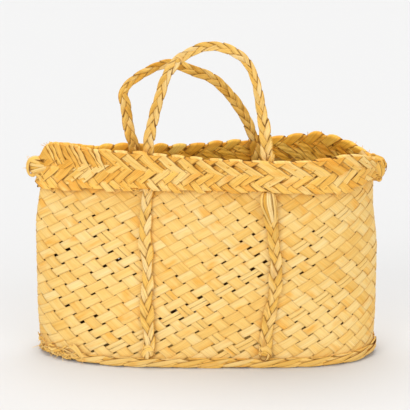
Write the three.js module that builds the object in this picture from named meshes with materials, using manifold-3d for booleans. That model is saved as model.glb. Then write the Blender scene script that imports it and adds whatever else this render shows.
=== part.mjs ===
// A flax kete: a soft basket woven from flat leaf strips, with a plaited rim, a plaited
// bottom edge, and two plaited handles whose ends are threaded through the walls and run
// down the outside as long tails.
// Millimetres. X runs along the basket, -Y is its front, +Z is up, and z = 0 is the ground.
import * as THREE from 'three';
import Module from 'manifold-3d';
import { mergeVertices } from 'three/addons/utils/BufferGeometryUtils.js';

// Basket body
const bodyLength = 336; // across the two ends at mid height
const baseDepth = 124; // across the bottom, front to back
const mouthDepth = 122; // across the mouth where it stands widest
const wallHeight = 197; // woven wall, under the top edge of the rim plait
const wallThickness = 2.4;
const floorThickness = 2.4;
const endThickness = 5; // wall at the two folded ends, measured along X
const endHalfDepth = 0.9; // half of what is left between front and rear at a folded end
const bellyDepth = 3; // how far the wall bulges half way up
const bottomRound = 4; // radius between wall and floor
// The two bottom corners curl up off the ground; the curl has gone at this share of the height.
const cornerLift = { height: 4, sharpness: 12, to: 0.3 };
// How square the bottom's outline is at its ends, and how full along its sides.
const baseShape = { squareness: 2.2, fullness: 0.7 };
// The lowest part of each end is drawn in a little, up to a share of the height.
const footDraw = { depth: 2, to: 0.25 };
// The upper ends are drawn in from the corners under them, between two shares of the height.
const leftDraw = { depth: 11, from: 0.82, to: 0.9 };
const rightDraw = { depth: 5, from: 0.7, to: 0.82 };
const mouthClosed = 0.15; // share of the mouth's depth left at its pinched left end
const mouthTurnLeft = -0.78; // where along the body, from -1 to 1, the pinch begins
const mouthTurnRight = 0.48; // where it has opened fully
// How square the mouth's outline is at its ends, how slowly it opens, and how full it is.
const mouthShape = { squareness: 4, slowness: 1.5, fullness: 0.8 };

// Rim: the left end rises a little, and the right end rises to a shoulder and then dips,
// each between two places along the body
const rimRise = { height: 6, from: -0.5, to: -0.9 };
const rimShoulder = { height: 4, from: 0.4, to: 0.72 };
const rimDip = { height: 14, from: 0.76, to: 1 };
const rimOverWall = 3; // top edge of the rim plait above the wall
const rimMargin = { left: 12, right: 9 }; // bare wall beyond the ends of the rim plait
const baseMargin = { left: 8, right: 8 };
const baseSeat = 0.2; // under the base plait

// Clearance between pieces that touch
const seatGap = 0.35;
const rimGap = 0.8;
const rootGap = 0.8;

// Plaits of three strands: widths across the plait, depths through it
const rimPlait = { width: 35.5, strandWidth: 11.6, strandDepth: 2, sway: 2.15, lay: 61.5, sides: 6 };
const basePlait = { width: 9.8, strandWidth: 3.1, strandDepth: 2.3, sway: 1.75, lay: 64.5, sides: 4 };
const handlePlait = { width: 10, strandWidth: 2.8, strandDepth: 1.95, sway: 1.85, lay: 39, sides: 6 };

// Handles: where each end comes up inside the rim, and the bow between the ends
const hingeHeight = 204;
const handleEnds = { front: { left: -57, right: 62 }, rear: { left: -72, right: 54 } };
const handleBows = {
  front: [
    [3, 14], [9, 38], [18, 64], [32, 86], [54, 101],
    [75, 102], [98, 93], [109, 72], [117, 42], [121, 16],
  ],
  rear: [
    [-4, 18], [-8, 42], [-8, 54], [-1, 63], [14, 71], [34, 77],
    [53, 74.5], [72, 68], [91, 54], [108, 32], [120, 12],
  ],
};
const handleFoot = 1.2; // how far a handle's end reaches below its bending line
const footStraight = 5; // straight strands beside the bending line

// Tails and roots: the ends of the handles, inside and outside the wall
const tailFoot = 15; // height of the lower end of a tail
const threadTop = 171; // the plait leaves the inside face here
const threadFoot = 151; // and lies on the outside face here
const rootBlend = 25; // over this height a root turns from the wall's line to the bending line
const slotSideGap = 0.8;
const slotEndGap = 1;
const slotDepth = 14;

// Knots at the two ends of the rim: two strands twisted together
const knotStrand = 5.2; // across one strand
const knotDrop = 22;
const knotTurns = 0.625;
const knotSpread = 0.54; // middle of a strand from the middle of the knot, in strand widths
const knotStart = 1; // below the wall's top edge
const knotSteps = 10;

const strawColor = 0xf0c468;
const darkStrawColor = 0xd9a548;

const halfLength = bodyLength / 2;
const rimTop = wallHeight + rimOverWall;

function mix(from, to, share) {
  return from + (to - from) * share;
}

function smoothStep(from, to, value) {
  const share = Math.min(1, Math.max(0, (value - from) / (to - from)));
  return share * share * (3 - 2 * share);
}

// The shape of the walls

// Height of the wall's top edge above or below the middle, at a place along the body.
function rimWave(along) {
  const rise = rimRise.height * smoothStep(rimRise.from, rimRise.to, along);
  const shoulder = rimShoulder.height * smoothStep(rimShoulder.from, rimShoulder.to, along);
  return rise + shoulder - rimDip.height * smoothStep(rimDip.from, rimDip.to, along);
}

const highestShare = 1.05;

// Share of the way up the wall, from 0 at the ground to 1 at the wall's top edge.
function heightShare(height) {
  return Math.min(highestShare, Math.max(0, height / wallHeight));
}

function baseOutline(along) {
  return Math.max(0, 1 - Math.abs(along) ** baseShape.squareness) ** baseShape.fullness;
}

// The mouth is a teardrop: pinched nearly shut on the left and wide open on the right.
function mouthOutline(along) {
  const end = Math.max(0, 1 - along ** mouthShape.squareness);
  const open = smoothStep(mouthTurnLeft, mouthTurnRight, along) ** mouthShape.slowness;
  return mouthClosed * Math.sqrt(end) + (1 - mouthClosed) * open * end ** mouthShape.fullness;
}

function halfDepth(along, height) {
  const share = heightShare(height);
  const base = (baseDepth / 2) * baseOutline(along);
  const mouth = (mouthDepth / 2) * mouthOutline(along);
  const belly = bellyDepth * Math.sin(Math.PI * Math.min(1, share)) * baseOutline(along);
  return mix(base, mouth, smoothStep(0, 1, share)) + belly;
}

// How far the body reaches along X, to its left end (end -1) or its right end (end 1).
function reach(height, end) {
  const share = heightShare(height);
  const draw = end < 0 ? leftDraw : rightDraw;
  const drawnIn = draw.depth * smoothStep(draw.from, draw.to, share);
  return halfLength - drawnIn - footDraw.depth * smoothStep(footDraw.to, 0, share);
}

// A point of the outer face. The turn runs round the body: 0 at the right end, a quarter
// turn at the middle of the back, half a turn at the left end.
function wallPoint(turn, height) {
  const along = Math.cos(turn);
  const side = Math.sign(Math.sin(turn));
  return new THREE.Vector3(reach(height, Math.sign(along)) * along, side * halfDepth(along, height), height);
}

function wallNormal(turn, height) {
  const step = 0.02;
  const round = wallPoint(turn + step, height).sub(wallPoint(turn - step, height));
  const up = wallPoint(turn, height + 2).sub(wallPoint(turn, height - 2));
  return round.cross(up).normalize();
}

// Turns and distances along one side of the wall at a height, to walk along it by length.
function wallWalk(fromTurn, toTurn, height) {
  const steps = 400;
  const turns = [fromTurn];
  const lengths = [0];
  let last = wallPoint(fromTurn, height);
  for (let i = 1; i <= steps; i += 1) {
    const turn = mix(fromTurn, toTurn, i / steps);
    const point = wallPoint(turn, height);
    turns.push(turn);
    lengths.push(lengths[i - 1] + point.distanceTo(last));
    last = point;
  }
  const turnAt = (length) => {
    const after = Math.max(1, lengths.findIndex((l) => l >= length - 1e-9));
    const share = (length - lengths[after - 1]) / (lengths[after] - lengths[after - 1]);
    return mix(turns[after - 1], turns[after], share);
  };
  return { total: lengths[steps], turnAt };
}

// Solids

// A closed body from rings of points, each ring with as many points as the last.
function loft(rings, capFirst, capLast) {
  const count = rings[0].length;
  const positions = rings.flat().flatMap((point) => [point.x, point.y, point.z]);
  const index = [];
  for (let ring = 0; ring + 1 < rings.length; ring += 1) {
    for (let i = 0; i < count; i += 1) {
      const a = ring * count + i;
      const b = ring * count + ((i + 1) % count);
      index.push(a, b, b + count, a, b + count, a + count);
    }
  }
  for (const [a, b, c] of capFirst) index.push(a, c, b);
  const last = (rings.length - 1) * count;
  for (const [a, b, c] of capLast) index.push(last + a, last + b, last + c);
  const geometry = new THREE.BufferGeometry();
  geometry.setAttribute('position', new THREE.Float32BufferAttribute(positions, 3));
  geometry.setIndex(index);
  return geometry;
}

function fan(count) {
  const faces = [];
  for (let i = 1; i + 1 < count; i += 1) faces.push([0, i, i + 1]);
  return faces;
}

// Faces across a ring whose points lie in mirrored pairs about its first and middle points.
function ladder(count) {
  const faces = [[0, 1, count - 1]];
  for (let i = 1; i < count / 2 - 1; i += 1) {
    faces.push([i, i + 1, count - i], [i + 1, count - i - 1, count - i]);
  }
  faces.push([count / 2 - 1, count / 2, count / 2 + 1]);
  return faces;
}

// Sections of a strand, in shares of its width and its depth.
const flatSection = [[0.5, 0], [0.27, 0.5], [-0.27, 0.5], [-0.5, 0], [-0.27, -0.5], [0.27, -0.5]];
const ridgedSection = [[0.5, 0], [0, 0.5], [-0.5, 0], [0, -0.5]];

// A flat strand with thin edges along a line of points. The normals say which way its
// broad face looks.
function strand(points, normals, width, depth, sides) {
  const rings = points.map((point, i) => {
    const before = points[Math.max(0, i - 1)];
    const after = points[Math.min(points.length - 1, i + 1)];
    const along = after.clone().sub(before).normalize();
    const across = normals[i].clone().cross(along).normalize();
    const out = along.clone().cross(across);
    const corner = (w, d) => point.clone().addScaledVector(across, w * width).addScaledVector(out, d * depth);
    const section = sides === 4 ? ridgedSection : flatSection;
    return section.map(([w, d]) => corner(w, d));
  });
  return loft(rings, fan(sides), fan(sides));
}

// The three strands of a flat plait. The route gives, at a length along it, the way out
// of the plait's broad face, and a place for each distance across it and through it. The
// strands cross once in each sixth of a lay, and lie side by side at both ends. At
// straight ends they also run straight and level for that length. The hand, 1 or -1,
// says which way the plait's chevrons point.
function plait(route, total, form, straight = 0, hand = 1) {
  const swing = (form.width - form.strandWidth) / 2;
  const plaited = total - 2 * straight;
  const sixths = Math.max(1, Math.round(plaited / (form.lay / 6)));
  const lengths = straight > 0 ? [0, straight] : [0];
  for (let i = 0; i < sixths; i += 1) lengths.push(straight + (plaited * (i + 0.5)) / sixths);
  if (straight > 0) lengths.push(total - straight);
  lengths.push(total);
  return [0, 1, 2].map((order) => {
    const points = [];
    const normals = [];
    for (const length of lengths) {
      const share = Math.min(1, Math.max(0, (length - straight) / plaited));
      const phase = (share * sixths * Math.PI) / 3 + (order * 2 * Math.PI) / 3;
      const level = straight > 0 && (share === 0 || share === 1);
      const depth = level ? 0 : (hand * form.sway * Math.sin(2 * phase)) / Math.sin(Math.PI / 3);
      const { place, out } = route(length);
      points.push(place(swing * Math.sin(phase), depth));
      normals.push(out);
    }
    return strand(points, normals, form.strandWidth, form.strandDepth, form.sides);
  });
}

const wasm = await Module();
wasm.setup();

function toManifold(geometry) {
  const bare = geometry.clone();
  bare.deleteAttribute('normal');
  bare.deleteAttribute('uv');
  const merged = mergeVertices(bare, 1e-4);
  return new wasm.Manifold(new wasm.Mesh({
    numProp: 3,
    vertProperties: new Float32Array(merged.attributes.position.array),
    triVerts: new Uint32Array(merged.index.array),
  }));
}

function toGeometry(solid) {
  const mesh = solid.getMesh();
  const geometry = new THREE.BufferGeometry();
  geometry.setAttribute('position', new THREE.BufferAttribute(new Float32Array(mesh.vertProperties), 3));
  geometry.setIndex(new THREE.BufferAttribute(new Uint32Array(mesh.triVerts), 1));
  return geometry;
}

// The woven body

const aroundCount = 56;
const outerLevels = [0.08, 0.22, 0.38, 0.54, 0.7, 0.81, 0.9, 1];

function liftAt(along) {
  return cornerLift.height * Math.abs(along) ** cornerLift.sharpness;
}

function wallTopAt(along) {
  return wallHeight + rimWave(along);
}

// A ring of the outer or the inner face. Level runs from 0 at the ground to 1 at the top edge.
function bodyRing(level, inset, endInset, lowest) {
  const ring = [];
  for (let i = 0; i < aroundCount; i += 1) {
    const turn = (2 * Math.PI * i) / aroundCount;
    const along = Math.cos(turn);
    const side = i === 0 || i === aroundCount / 2 ? 0 : Math.sign(Math.sin(turn));
    const height = Math.max(lowest, level * wallTopAt(along));
    const span = reach(height, Math.sign(along));
    const x = (span - endInset) * along;
    const depth = Math.max(endHalfDepth, halfDepth(x / span, height) - inset);
    const lift = liftAt(along) * smoothStep(cornerLift.to, 0, level);
    ring.push(new THREE.Vector3(x, side * depth, height + lift));
  }
  return ring;
}

function wovenBody() {
  const rings = [];
  const roundMiddle = bottomRound * 0.3;
  rings.push(bodyRing(0, bottomRound, bottomRound, 0));
  rings.push(bodyRing(0, roundMiddle, roundMiddle, roundMiddle));
  rings.push(bodyRing(0, 0, 0, bottomRound));
  for (const level of outerLevels) rings.push(bodyRing(level, 0, 0, bottomRound));
  for (const level of [...outerLevels].reverse()) {
    rings.push(bodyRing(level, wallThickness, endThickness, floorThickness));
  }
  rings.push(bodyRing(0, wallThickness + bottomRound * 0.5, endThickness + bottomRound, floorThickness));
  return loft(rings, ladder(aroundCount), ladder(aroundCount));
}

// Plaits that lie on the wall

// Route along one side of the wall, from the left end to the right end.
function edgeRoute(side, heightAt, standoff, margin) {
  const left = Math.PI;
  const right = side === 'front' ? 2 * Math.PI : 0;
  const walk = wallWalk(left, right, heightAt(0));
  const total = walk.total - margin.left - margin.right;
  const route = (length) => {
    const turn = walk.turnAt(length + margin.left);
    const height = heightAt(Math.cos(turn));
    const place = (across, depth) => wallPoint(turn, height + across)
      .addScaledVector(wallNormal(turn, height + across), standoff + depth);
    return { place, out: wallNormal(turn, height) };
  };
  return { route, total };
}

function plaitDepth(form) {
  return 2 * form.sway + form.strandDepth;
}

function rimStrands(side) {
  const heightAt = (along) => rimTop + rimWave(along) - rimPlait.width / 2;
  const { route, total } = edgeRoute(side, heightAt, rimGap + plaitDepth(rimPlait) / 2, rimMargin);
  return plait(route, total, rimPlait, 0, side === 'front' ? -1 : 1);
}

function baseStrands(side) {
  const heightAt = (along) => basePlait.width / 2 + baseSeat + liftAt(along);
  const { route, total } = edgeRoute(side, heightAt, seatGap + plaitDepth(basePlait) / 2, baseMargin);
  return plait(route, total, basePlait);
}

// Handles

// The turn round the body whose point at a height has the given x, on one side.
function turnAtX(x, height, side) {
  const turn = Math.acos(x / reach(height, Math.sign(x)));
  return side === 'front' ? 2 * Math.PI - turn : turn;
}

const insideStandoff = -(wallThickness + rootGap + plaitDepth(handlePlait) / 2);
const outsideStandoff = seatGap + plaitDepth(handlePlait) / 2;

// Where a handle bends: the middle of its plait at the top of the wall's inner face.
function hingePoint(side, end) {
  const x = handleEnds[side][end];
  const turn = turnAtX(x, wallHeight, side);
  const out = wallNormal(turn, wallHeight).setZ(0).normalize();
  return wallPoint(turn, wallHeight).addScaledVector(out, insideStandoff).setZ(hingeHeight);
}

function handlePlane(side) {
  const from = hingePoint(side, 'left');
  const to = hingePoint(side, 'right');
  const along = to.clone().sub(from).normalize();
  const up = new THREE.Vector3(0, 0, 1);
  return { from, along, up, span: from.distanceTo(to), out: up.clone().cross(along).negate() };
}

function handleStrands(side) {
  const { from, along, up, span, out } = handlePlane(side);
  const place = (a, b) => from.clone().addScaledVector(along, a).addScaledVector(up, b);
  const bow = handleBows[side].map(([a, b]) => place(a, b));
  const leftFoot = [place(0, -handleFoot), place(0, footStraight)];
  const rightFoot = [place(span, footStraight), place(span, -handleFoot)];
  const points = [...leftFoot, ...bow, ...rightFoot];
  const curve = new THREE.CatmullRomCurve3(points, false, 'centripetal');
  curve.arcLengthDivisions = 600;
  const total = curve.getLength();
  const route = (length) => {
    const share = Math.min(1, Math.max(0, length / total));
    const middle = curve.getPointAt(share);
    const sideways = out.clone().cross(curve.getTangentAt(share)).normalize();
    return {
      place: (across, depth) => middle.clone().addScaledVector(sideways, across).addScaledVector(out, depth),
      out,
    };
  };
  return plait(route, total, handlePlait, footStraight);
}

// A handle's root and tail: up inside the wall, through it under the rim, and down outside.
function tailRoute(side, end) {
  const x = handleEnds[side][end];
  const footGap = Math.hypot(handleFoot, handlePlait.strandDepth / 2) + seatGap;
  const top = hingeHeight - footGap;
  const hingeLine = handlePlane(side).along.multiplyScalar(side === 'front' ? 1 : -1);
  const middleAt = (height) => {
    const level = Math.min(height, wallHeight);
    const turn = turnAtX(x, level, side);
    const standoff = mix(insideStandoff, outsideStandoff, smoothStep(threadTop, threadFoot, height));
    return wallPoint(turn, level).setZ(height).addScaledVector(wallNormal(turn, level), standoff);
  };
  const route = (length) => {
    const height = top - length;
    const turn = turnAtX(x, Math.min(height, wallHeight), side);
    const facing = wallNormal(turn, Math.min(height, wallHeight));
    const wallLine = new THREE.Vector3(0, 0, 1).cross(facing).normalize();
    const sideways = wallLine.lerp(hingeLine, smoothStep(top - rootBlend, top, height)).normalize();
    const rise = middleAt(height + 1).sub(middleAt(height - 1)).normalize();
    const out = sideways.clone().cross(rise).normalize();
    const middle = middleAt(height);
    return {
      place: (across, depth) => middle.clone().addScaledVector(sideways, across).addScaledVector(out, depth),
      out,
    };
  };
  return { route, total: top - tailFoot };
}

function tailStrands(side, end) {
  const { route, total } = tailRoute(side, end);
  return plait(route, total, handlePlait, footStraight);
}

// The slot in the wall that a plait is threaded through.
function slot(side, end) {
  const x = handleEnds[side][end];
  const middle = (threadTop + threadFoot) / 2;
  const turn = turnAtX(x, middle, side);
  const normal = wallNormal(turn, middle);
  const width = handlePlait.width + 2 * slotSideGap;
  const height = threadTop - threadFoot + 2 * slotEndGap;
  const box = new THREE.BoxGeometry(width, slotDepth, height).toNonIndexed();
  const angle = Math.atan2(normal.y, normal.x) + Math.PI / 2;
  box.rotateZ(angle);
  const centre = wallPoint(turn, middle).addScaledVector(normal, -wallThickness / 2);
  box.translate(centre.x, centre.y, centre.z);
  return box;
}

function bodyWithSlots() {
  let body = toManifold(wovenBody());
  for (const side of ['front', 'rear']) {
    for (const end of ['left', 'right']) body = body.subtract(toManifold(slot(side, end)));
  }
  return toGeometry(body);
}

// Knots at the ends of the rim: two strands twisted about each other, beside the wall's end.
function knotStrands(side) {
  const sign = side === 'left' ? -1 : 1;
  const top = wallTopAt(sign) - knotStart;
  const radius = knotStrand * knotSpread + seatGap / 2;
  const middleX = reach(wallHeight, sign) + seatGap + 2 * radius;
  return [0, Math.PI].map((start) => {
    const points = [];
    const normals = [];
    for (let i = 0; i <= knotSteps; i += 1) {
      const share = i / knotSteps;
      const phase = start + share * knotTurns * 2 * Math.PI;
      const swing = new THREE.Vector3(Math.cos(phase), Math.sin(phase), 0);
      const middle = new THREE.Vector3(sign * middleX, 0, top - knotDrop * share);
      points.push(middle.addScaledVector(swing, radius));
      normals.push(swing);
    }
    return strand(points, normals, knotStrand, knotStrand, 6);
  });
}

// The assembly

function straw(color) {
  return new THREE.MeshStandardMaterial({ color, roughness: 0.55, metalness: 0 });
}

const kete = new THREE.Group();

function addMesh(name, geometry, color) {
  const mesh = new THREE.Mesh(geometry, straw(color));
  mesh.name = name;
  kete.add(mesh);
}

function addStrands(name, strands, color) {
  strands.forEach((geometry, i) => addMesh(`${name}_strand_${i + 1}`, geometry, color));
}

addMesh('woven_body', bodyWithSlots(), strawColor);
for (const side of ['front', 'rear']) {
  addStrands(`rim_plait_${side}`, rimStrands(side), strawColor);
  addStrands(`base_plait_${side}`, baseStrands(side), darkStrawColor);
  addStrands(`handle_${side}`, handleStrands(side), strawColor);
  for (const end of ['left', 'right']) addStrands(`tail_${side}_${end}`, tailStrands(side, end), strawColor);
}
for (const side of ['left', 'right']) addStrands(`end_knot_${side}`, knotStrands(side), darkStrawColor);

// The origin is under the middle of the whole part.
const whole = new THREE.Box3().setFromObject(kete);
kete.position.set(-(whole.min.x + whole.max.x) / 2, -(whole.min.y + whole.max.y) / 2, -whole.min.z);

export default kete;
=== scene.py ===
# A flax kete: a soft basket woven from flat leaf strips, with a plaited rim and bottom
# edge, two plaited handles, and the handles' tails down the outside.
# Shapes are worked out in millimetres on the basket's own middle and laid out in metres.
import math
import random

import bpy
import numpy as np
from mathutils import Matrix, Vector


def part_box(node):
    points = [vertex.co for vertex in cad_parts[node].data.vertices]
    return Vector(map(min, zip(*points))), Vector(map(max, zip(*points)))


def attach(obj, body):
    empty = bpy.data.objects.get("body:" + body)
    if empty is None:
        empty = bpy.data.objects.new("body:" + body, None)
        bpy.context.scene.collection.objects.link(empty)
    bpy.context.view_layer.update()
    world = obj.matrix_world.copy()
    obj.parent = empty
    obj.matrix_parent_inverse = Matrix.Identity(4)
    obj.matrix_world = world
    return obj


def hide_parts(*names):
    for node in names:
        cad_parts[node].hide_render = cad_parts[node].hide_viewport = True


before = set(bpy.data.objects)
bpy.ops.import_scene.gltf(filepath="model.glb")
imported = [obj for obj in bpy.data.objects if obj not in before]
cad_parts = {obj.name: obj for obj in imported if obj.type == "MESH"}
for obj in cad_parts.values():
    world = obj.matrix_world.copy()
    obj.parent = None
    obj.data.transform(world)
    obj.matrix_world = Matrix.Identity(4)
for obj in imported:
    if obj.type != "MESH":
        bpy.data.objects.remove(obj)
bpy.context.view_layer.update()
body_low, body_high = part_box("woven_body")

MILLIMETRE = 0.001
BODY_MIDDLE_X = (body_low[0] + body_high[0]) / 2 / MILLIMETRE

# Basket body
BODY_LENGTH = 336.0
BASE_DEPTH = 124.0
MOUTH_DEPTH = 122.0
WALL_HEIGHT = 197.0
HALF_LENGTH = BODY_LENGTH / 2
BELLY_DEPTH = 3.0
BASE_SQUARENESS = 2.2
BASE_FULLNESS = 0.7
# The outline fills out towards the foot, between two heights: left end, right end
FOOT_FILLS_OUT = (80.0, 5.0)
FOOT_SQUARENESS = (3.0, 4.4)
FOOT_FULLNESS = (0.6, 0.5)
# The corners of the bottom are lifted, up to a share of the wall's height
CORNER_LIFT = 4.0
CORNER_SHARPNESS = 12
CORNER_LIFT_TO = 0.3
FOOT_DRAW = 2.0
FOOT_DRAW_TO = 0.25
# How far each end draws in, and the shares of the wall's height between which it does
LEFT_DRAW = (6.0, 0.62, 0.9)
RIGHT_DRAW = (5.0, 0.52, 0.8)
# The mouth is nearly shut at the left end and opens between two places
MOUTH_CLOSED = 0.15
MOUTH_TURN_LEFT = -0.78
MOUTH_TURN_RIGHT = 0.48
MOUTH_SQUARENESS = 4
MOUTH_SLOWNESS = 1.5
MOUTH_FULLNESS = 0.8
HIGHEST_SHARE = 1.05

# Heights of the rim's two edges at places along the basket, from the left end at -1 to the
# right end at 1
RIM_PLACES = [-1, -0.9, -0.8, -0.66, -0.5, -0.3, 0, 0.25, 0.4, 0.57, 0.73, 0.83, 0.93, 1]
RIM_TOPS = {
    "front": [
        205, 208.5, 206.3, 201.6, 201.3, 200.1, 199.2, 200.8, 200.4, 200.6, 202, 203.5, 199.5, 190,
    ],
    "rear": [203, 205.5, 204.2, 201.5, 203.7, 200.5, 199.4, 200.3, 201, 205, 207, 203, 198, 190],
}
LEFT_ROUNDING = 11.0
RIM_FEET = [166, 165, 165, 164.6, 165.4, 166.8, 169.2, 173.3, 173.7, 171.8, 168.8, 172, 176, 178]

# Handles, in the order left end, right end. Each line starts at the left bending point:
# distances to the right and heights above it. The widths are shares of the plait's own
# width at shares of the handle's length.
HINGE_HEIGHT = 204.0
HANDLE_ENDS = {"front": (-57.0, 62.0), "rear": (-72.0, 54.0)}
HANDLE_LINES = {
    "front": [
        (0, -4.5), (0, 5), (1.9, 19.4), (7.2, 39.2), (13.7, 58.9), (20.2, 74.7), (31.7, 88.4),
        (41.8, 95.2), (52.8, 100.2), (62.3, 102), (71.1, 102), (79.7, 99.8), (88.4, 96.3),
        (96.4, 91), (101.9, 83.4), (106.4, 74.2), (109.4, 65), (111.4, 54.5), (113.7, 42.9),
        (115.6, 31.1), (117.4, 19.4), (118.6, 7.5), (119.2, -4.5),
    ],
    "rear": [
        (0, -4.5), (-0.6, 3), (-3.7, 11.7), (-6.1, 26.6), (-7.8, 39), (-10.4, 50), (-8.3, 57.3),
        (0.1, 64.8), (11.5, 71), (23, 76), (33.2, 78), (42.2, 77.6), (52.4, 74.5), (61.5, 70.4),
        (71.1, 67.4), (80.3, 63), (89.4, 55.8), (97.3, 47.3), (104, 39), (110.7, 29.9),
        (117, 19.4), (122.1, 9), (126.5, -4.5),
    ],
}
HANDLE_WIDTHS = {
    "front": (
        [0, 0.12, 0.3, 0.45, 0.6, 0.68, 0.75, 0.88, 1],
        [1.12, 1, 0.9, 0.84, 0.86, 0.72, 0.84, 1.04, 1.2],
    ),
    "rear": (
        [0, 0.1, 0.2, 0.26, 0.36, 0.5, 0.7, 0.9, 1],
        [1.0, 1.05, 0.98, 0.74, 0.8, 0.88, 1.0, 0.98, 0.92],
    ),
}
INSIDE_STANDOFF = -6.1
OUTSIDE_STANDOFF = 3.2
TAIL_TOP = 206.5
TAIL_FOOT = 12.0
# A tail comes from the inside of the wall to its outside between these heights
TAIL_THREADED = (179.0, 166.0)

# The weave. Strips that rise to the right cross strips that fall to the right. At these
# places along the front, measured from the left end, the strips have these slopes and
# these heights from one to the next.
WEAVE_PLACES = [0, 60, 120, 180, 240, 300, 370]
RISING_COUNT = 36
FALLING_COUNT = 34
RISING_SLOPES = [0.52, 0.52, 0.52, 0.53, 0.54, 0.54, 0.54]
RISING_SPACING = [10.7, 10.6, 10.5, 10.6, 11.0, 11.2, 11.3]
FALLING_SLOPES = [0.83, 0.81, 0.82, 0.81, 0.81, 0.81, 0.82]
FALLING_SPACING = [18.6, 18.2, 18.2, 17.7, 17.4, 17.2, 17.1]
RISING_START = 4.02
FALLING_START = 3.58
WEAVE_UNDER_RIM = 9.0
WEAVE_FOOT = 1.2
# Places where the strips have drawn apart: distance along the front from the left end,
# height, how far it spreads, and how much
OPEN_SPOTS = [
    (30, 104, 18, 0.8), (72, 132, 12, 0.7), (86, 94, 20, 0.8), (66, 72, 16, 0.7), (36, 56, 18, 0.6),
    (219, 143, 16, 0.7), (196, 100, 14, 0.7), (228, 112, 18, 1.0), (229, 92, 16, 1.0),
    (145, 50, 16, 0.75), (168, 64, 16, 0.6), (268, 96, 16, 0.7), (280, 108, 14, 0.8),
    (70, 30, 24, 0.7), (135, 26, 24, 0.9), (222, 28, 22, 0.7), (172, 36, 20, 0.5),
    (310, 44, 22, 0.6), (276, 30, 20, 0.7), (203, 72, 20, 0.5), (136, 11, 9, 1.1),
    (157, 11, 9, 1.1), (197, 11, 9, 1.1), (215, 11, 8, 1.1), (240, 11, 9, 1.1), (104, 12, 9, 0.9),
]
# The wall's strips narrow where they have drawn apart, and waver everywhere: the share lost
# in an open place, the share that wavers, and how fast
NARROWING = {"rising": (0.15, 0.03, 0.9), "falling": (0.4, 0.05, 1.3)}
# Each family of strips: how many, the first one's number, and how wide they are as a share of
# the distance from one to the next
WALL_FAMILIES = {
    "rising": (RISING_COUNT, -10, (0.86, 0.95)),
    "falling": (FALLING_COUNT, 2, (0.9, 0.98)),
}
# The weave opens up over these distances from the left end and from the right end, and over
# these heights from the foot and from the top
OPEN_FROM_LEFT = (0, 40)
OPEN_FROM_RIGHT = (-6, 70)
OPEN_FROM_FOOT = (4, 14)
OPEN_FROM_TOP = (168, 140)
OPEN_EVERYWHERE = 0.05
# A few strips have split along their whole length
SPLIT_CHANCE = 0.03
SPLIT_WIDTH = 0.46
SPLIT_PLACE = 0.25
# Widths of the flat leaves
LEAF_WIDTHS = {"rising": 0.85 * RISING_SPACING[0], "falling": 0.6 * FALLING_SPACING[0]}
WEAVE_SWAY = 0.55
WEAVE_CUP = 0.12
WALL_TINT = (0.52, 0.17)
# Painted shadow of the rim: just under it the wall is painted deeper in colour
RIM_SHADOW_PAINT = 0.3
RIM_SHADOW_PAINT_HEIGHTS = (146, 168)
LEAF_THICKNESS = 0.45
STEPS_PER_CROSSING = 6
STEPS_ACROSS = 4
# Each leaf takes its fibres from another stretch of the pattern
FIBRE_SHIFT = 1000

# The floor's strips
FLOOR_SPACING = 11.0
FLOOR_SLOPE = 0.7
FLOOR_LEAF_SHARE = 0.92
FLOOR_LEAF_WIDTH = 7.0
FLOOR_INSET = 3.0
FLOOR_OVERHANG = 1.5
FLOOR_HEIGHT = 2.2
FLOOR_SWAY = 0.5
FLOOR_OUTLINE_HEIGHT = 4.0
FLOOR_STEP = 2.2
FLOOR_FEWEST_PLACES = 12
FLOOR_TINT = (0.45, 0.15)

# Rim plait: the distance from one strip to the next near the left and the right end
RIM_UNITS = (17.5, 19.7)
RIM_LEAF_THICKNESS = 0.6
RIM_STANDOFF = 1.2
RIM_FOOT_STANDOFF = 2.3

SIDES = ("front", "rear")
chance = random.Random(11)


def mix(first, last, share):
    return first + (last - first) * share


def smooth_step(first, last, value):
    share = np.clip((np.asarray(value, float) - first) / (last - first), 0, 1)
    return share * share * (3 - 2 * share)


def unit(vectors):
    length = np.linalg.norm(vectors, axis=-1, keepdims=True)
    return vectors / np.maximum(length, 1e-9)


def lengths_along(points):
    """The length walked along a line to each of its points."""
    return np.concatenate([[0], np.cumsum(np.linalg.norm(np.diff(points, axis=0), axis=1))])


def points_at(places, table_places, table):
    """A table of points or directions, read at places between its rows."""
    return np.stack([np.interp(places, table_places, table[:, k]) for k in range(3)], -1)


def drawn_tint(middle, spread):
    """A leaf's tint, drawn by chance: 0 is deep, 1 is pale."""
    return min(1, max(0, chance.gauss(middle, spread)))


# The shape of the walls

def softened_line(values):
    """A table of heights along the basket, its corners rounded off."""
    reach_of_softening = 15
    places = np.linspace(-1, 1, 401)
    heights = np.interp(places, RIM_PLACES, values)
    window = np.hanning(2 * reach_of_softening + 1)
    padded = np.pad(heights, reach_of_softening, mode="edge")
    return places, np.convolve(padded, window / window.sum(), mode="valid")


RIM_TOP_TABLES = {side: softened_line(RIM_TOPS[side]) for side in SIDES}
RIM_FOOT_TABLE = softened_line(RIM_FEET)


def rim_top(turn):
    along = np.cos(turn)
    rounding = LEFT_ROUNDING * smooth_step(-0.93, -1, along) ** 2
    front = np.interp(along, *RIM_TOP_TABLES["front"])
    rear = np.interp(along, *RIM_TOP_TABLES["rear"])
    return np.where(np.sin(turn) < 0, front, rear) - rounding


def rim_foot(turn):
    return np.interp(np.cos(turn), *RIM_FOOT_TABLE)


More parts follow.
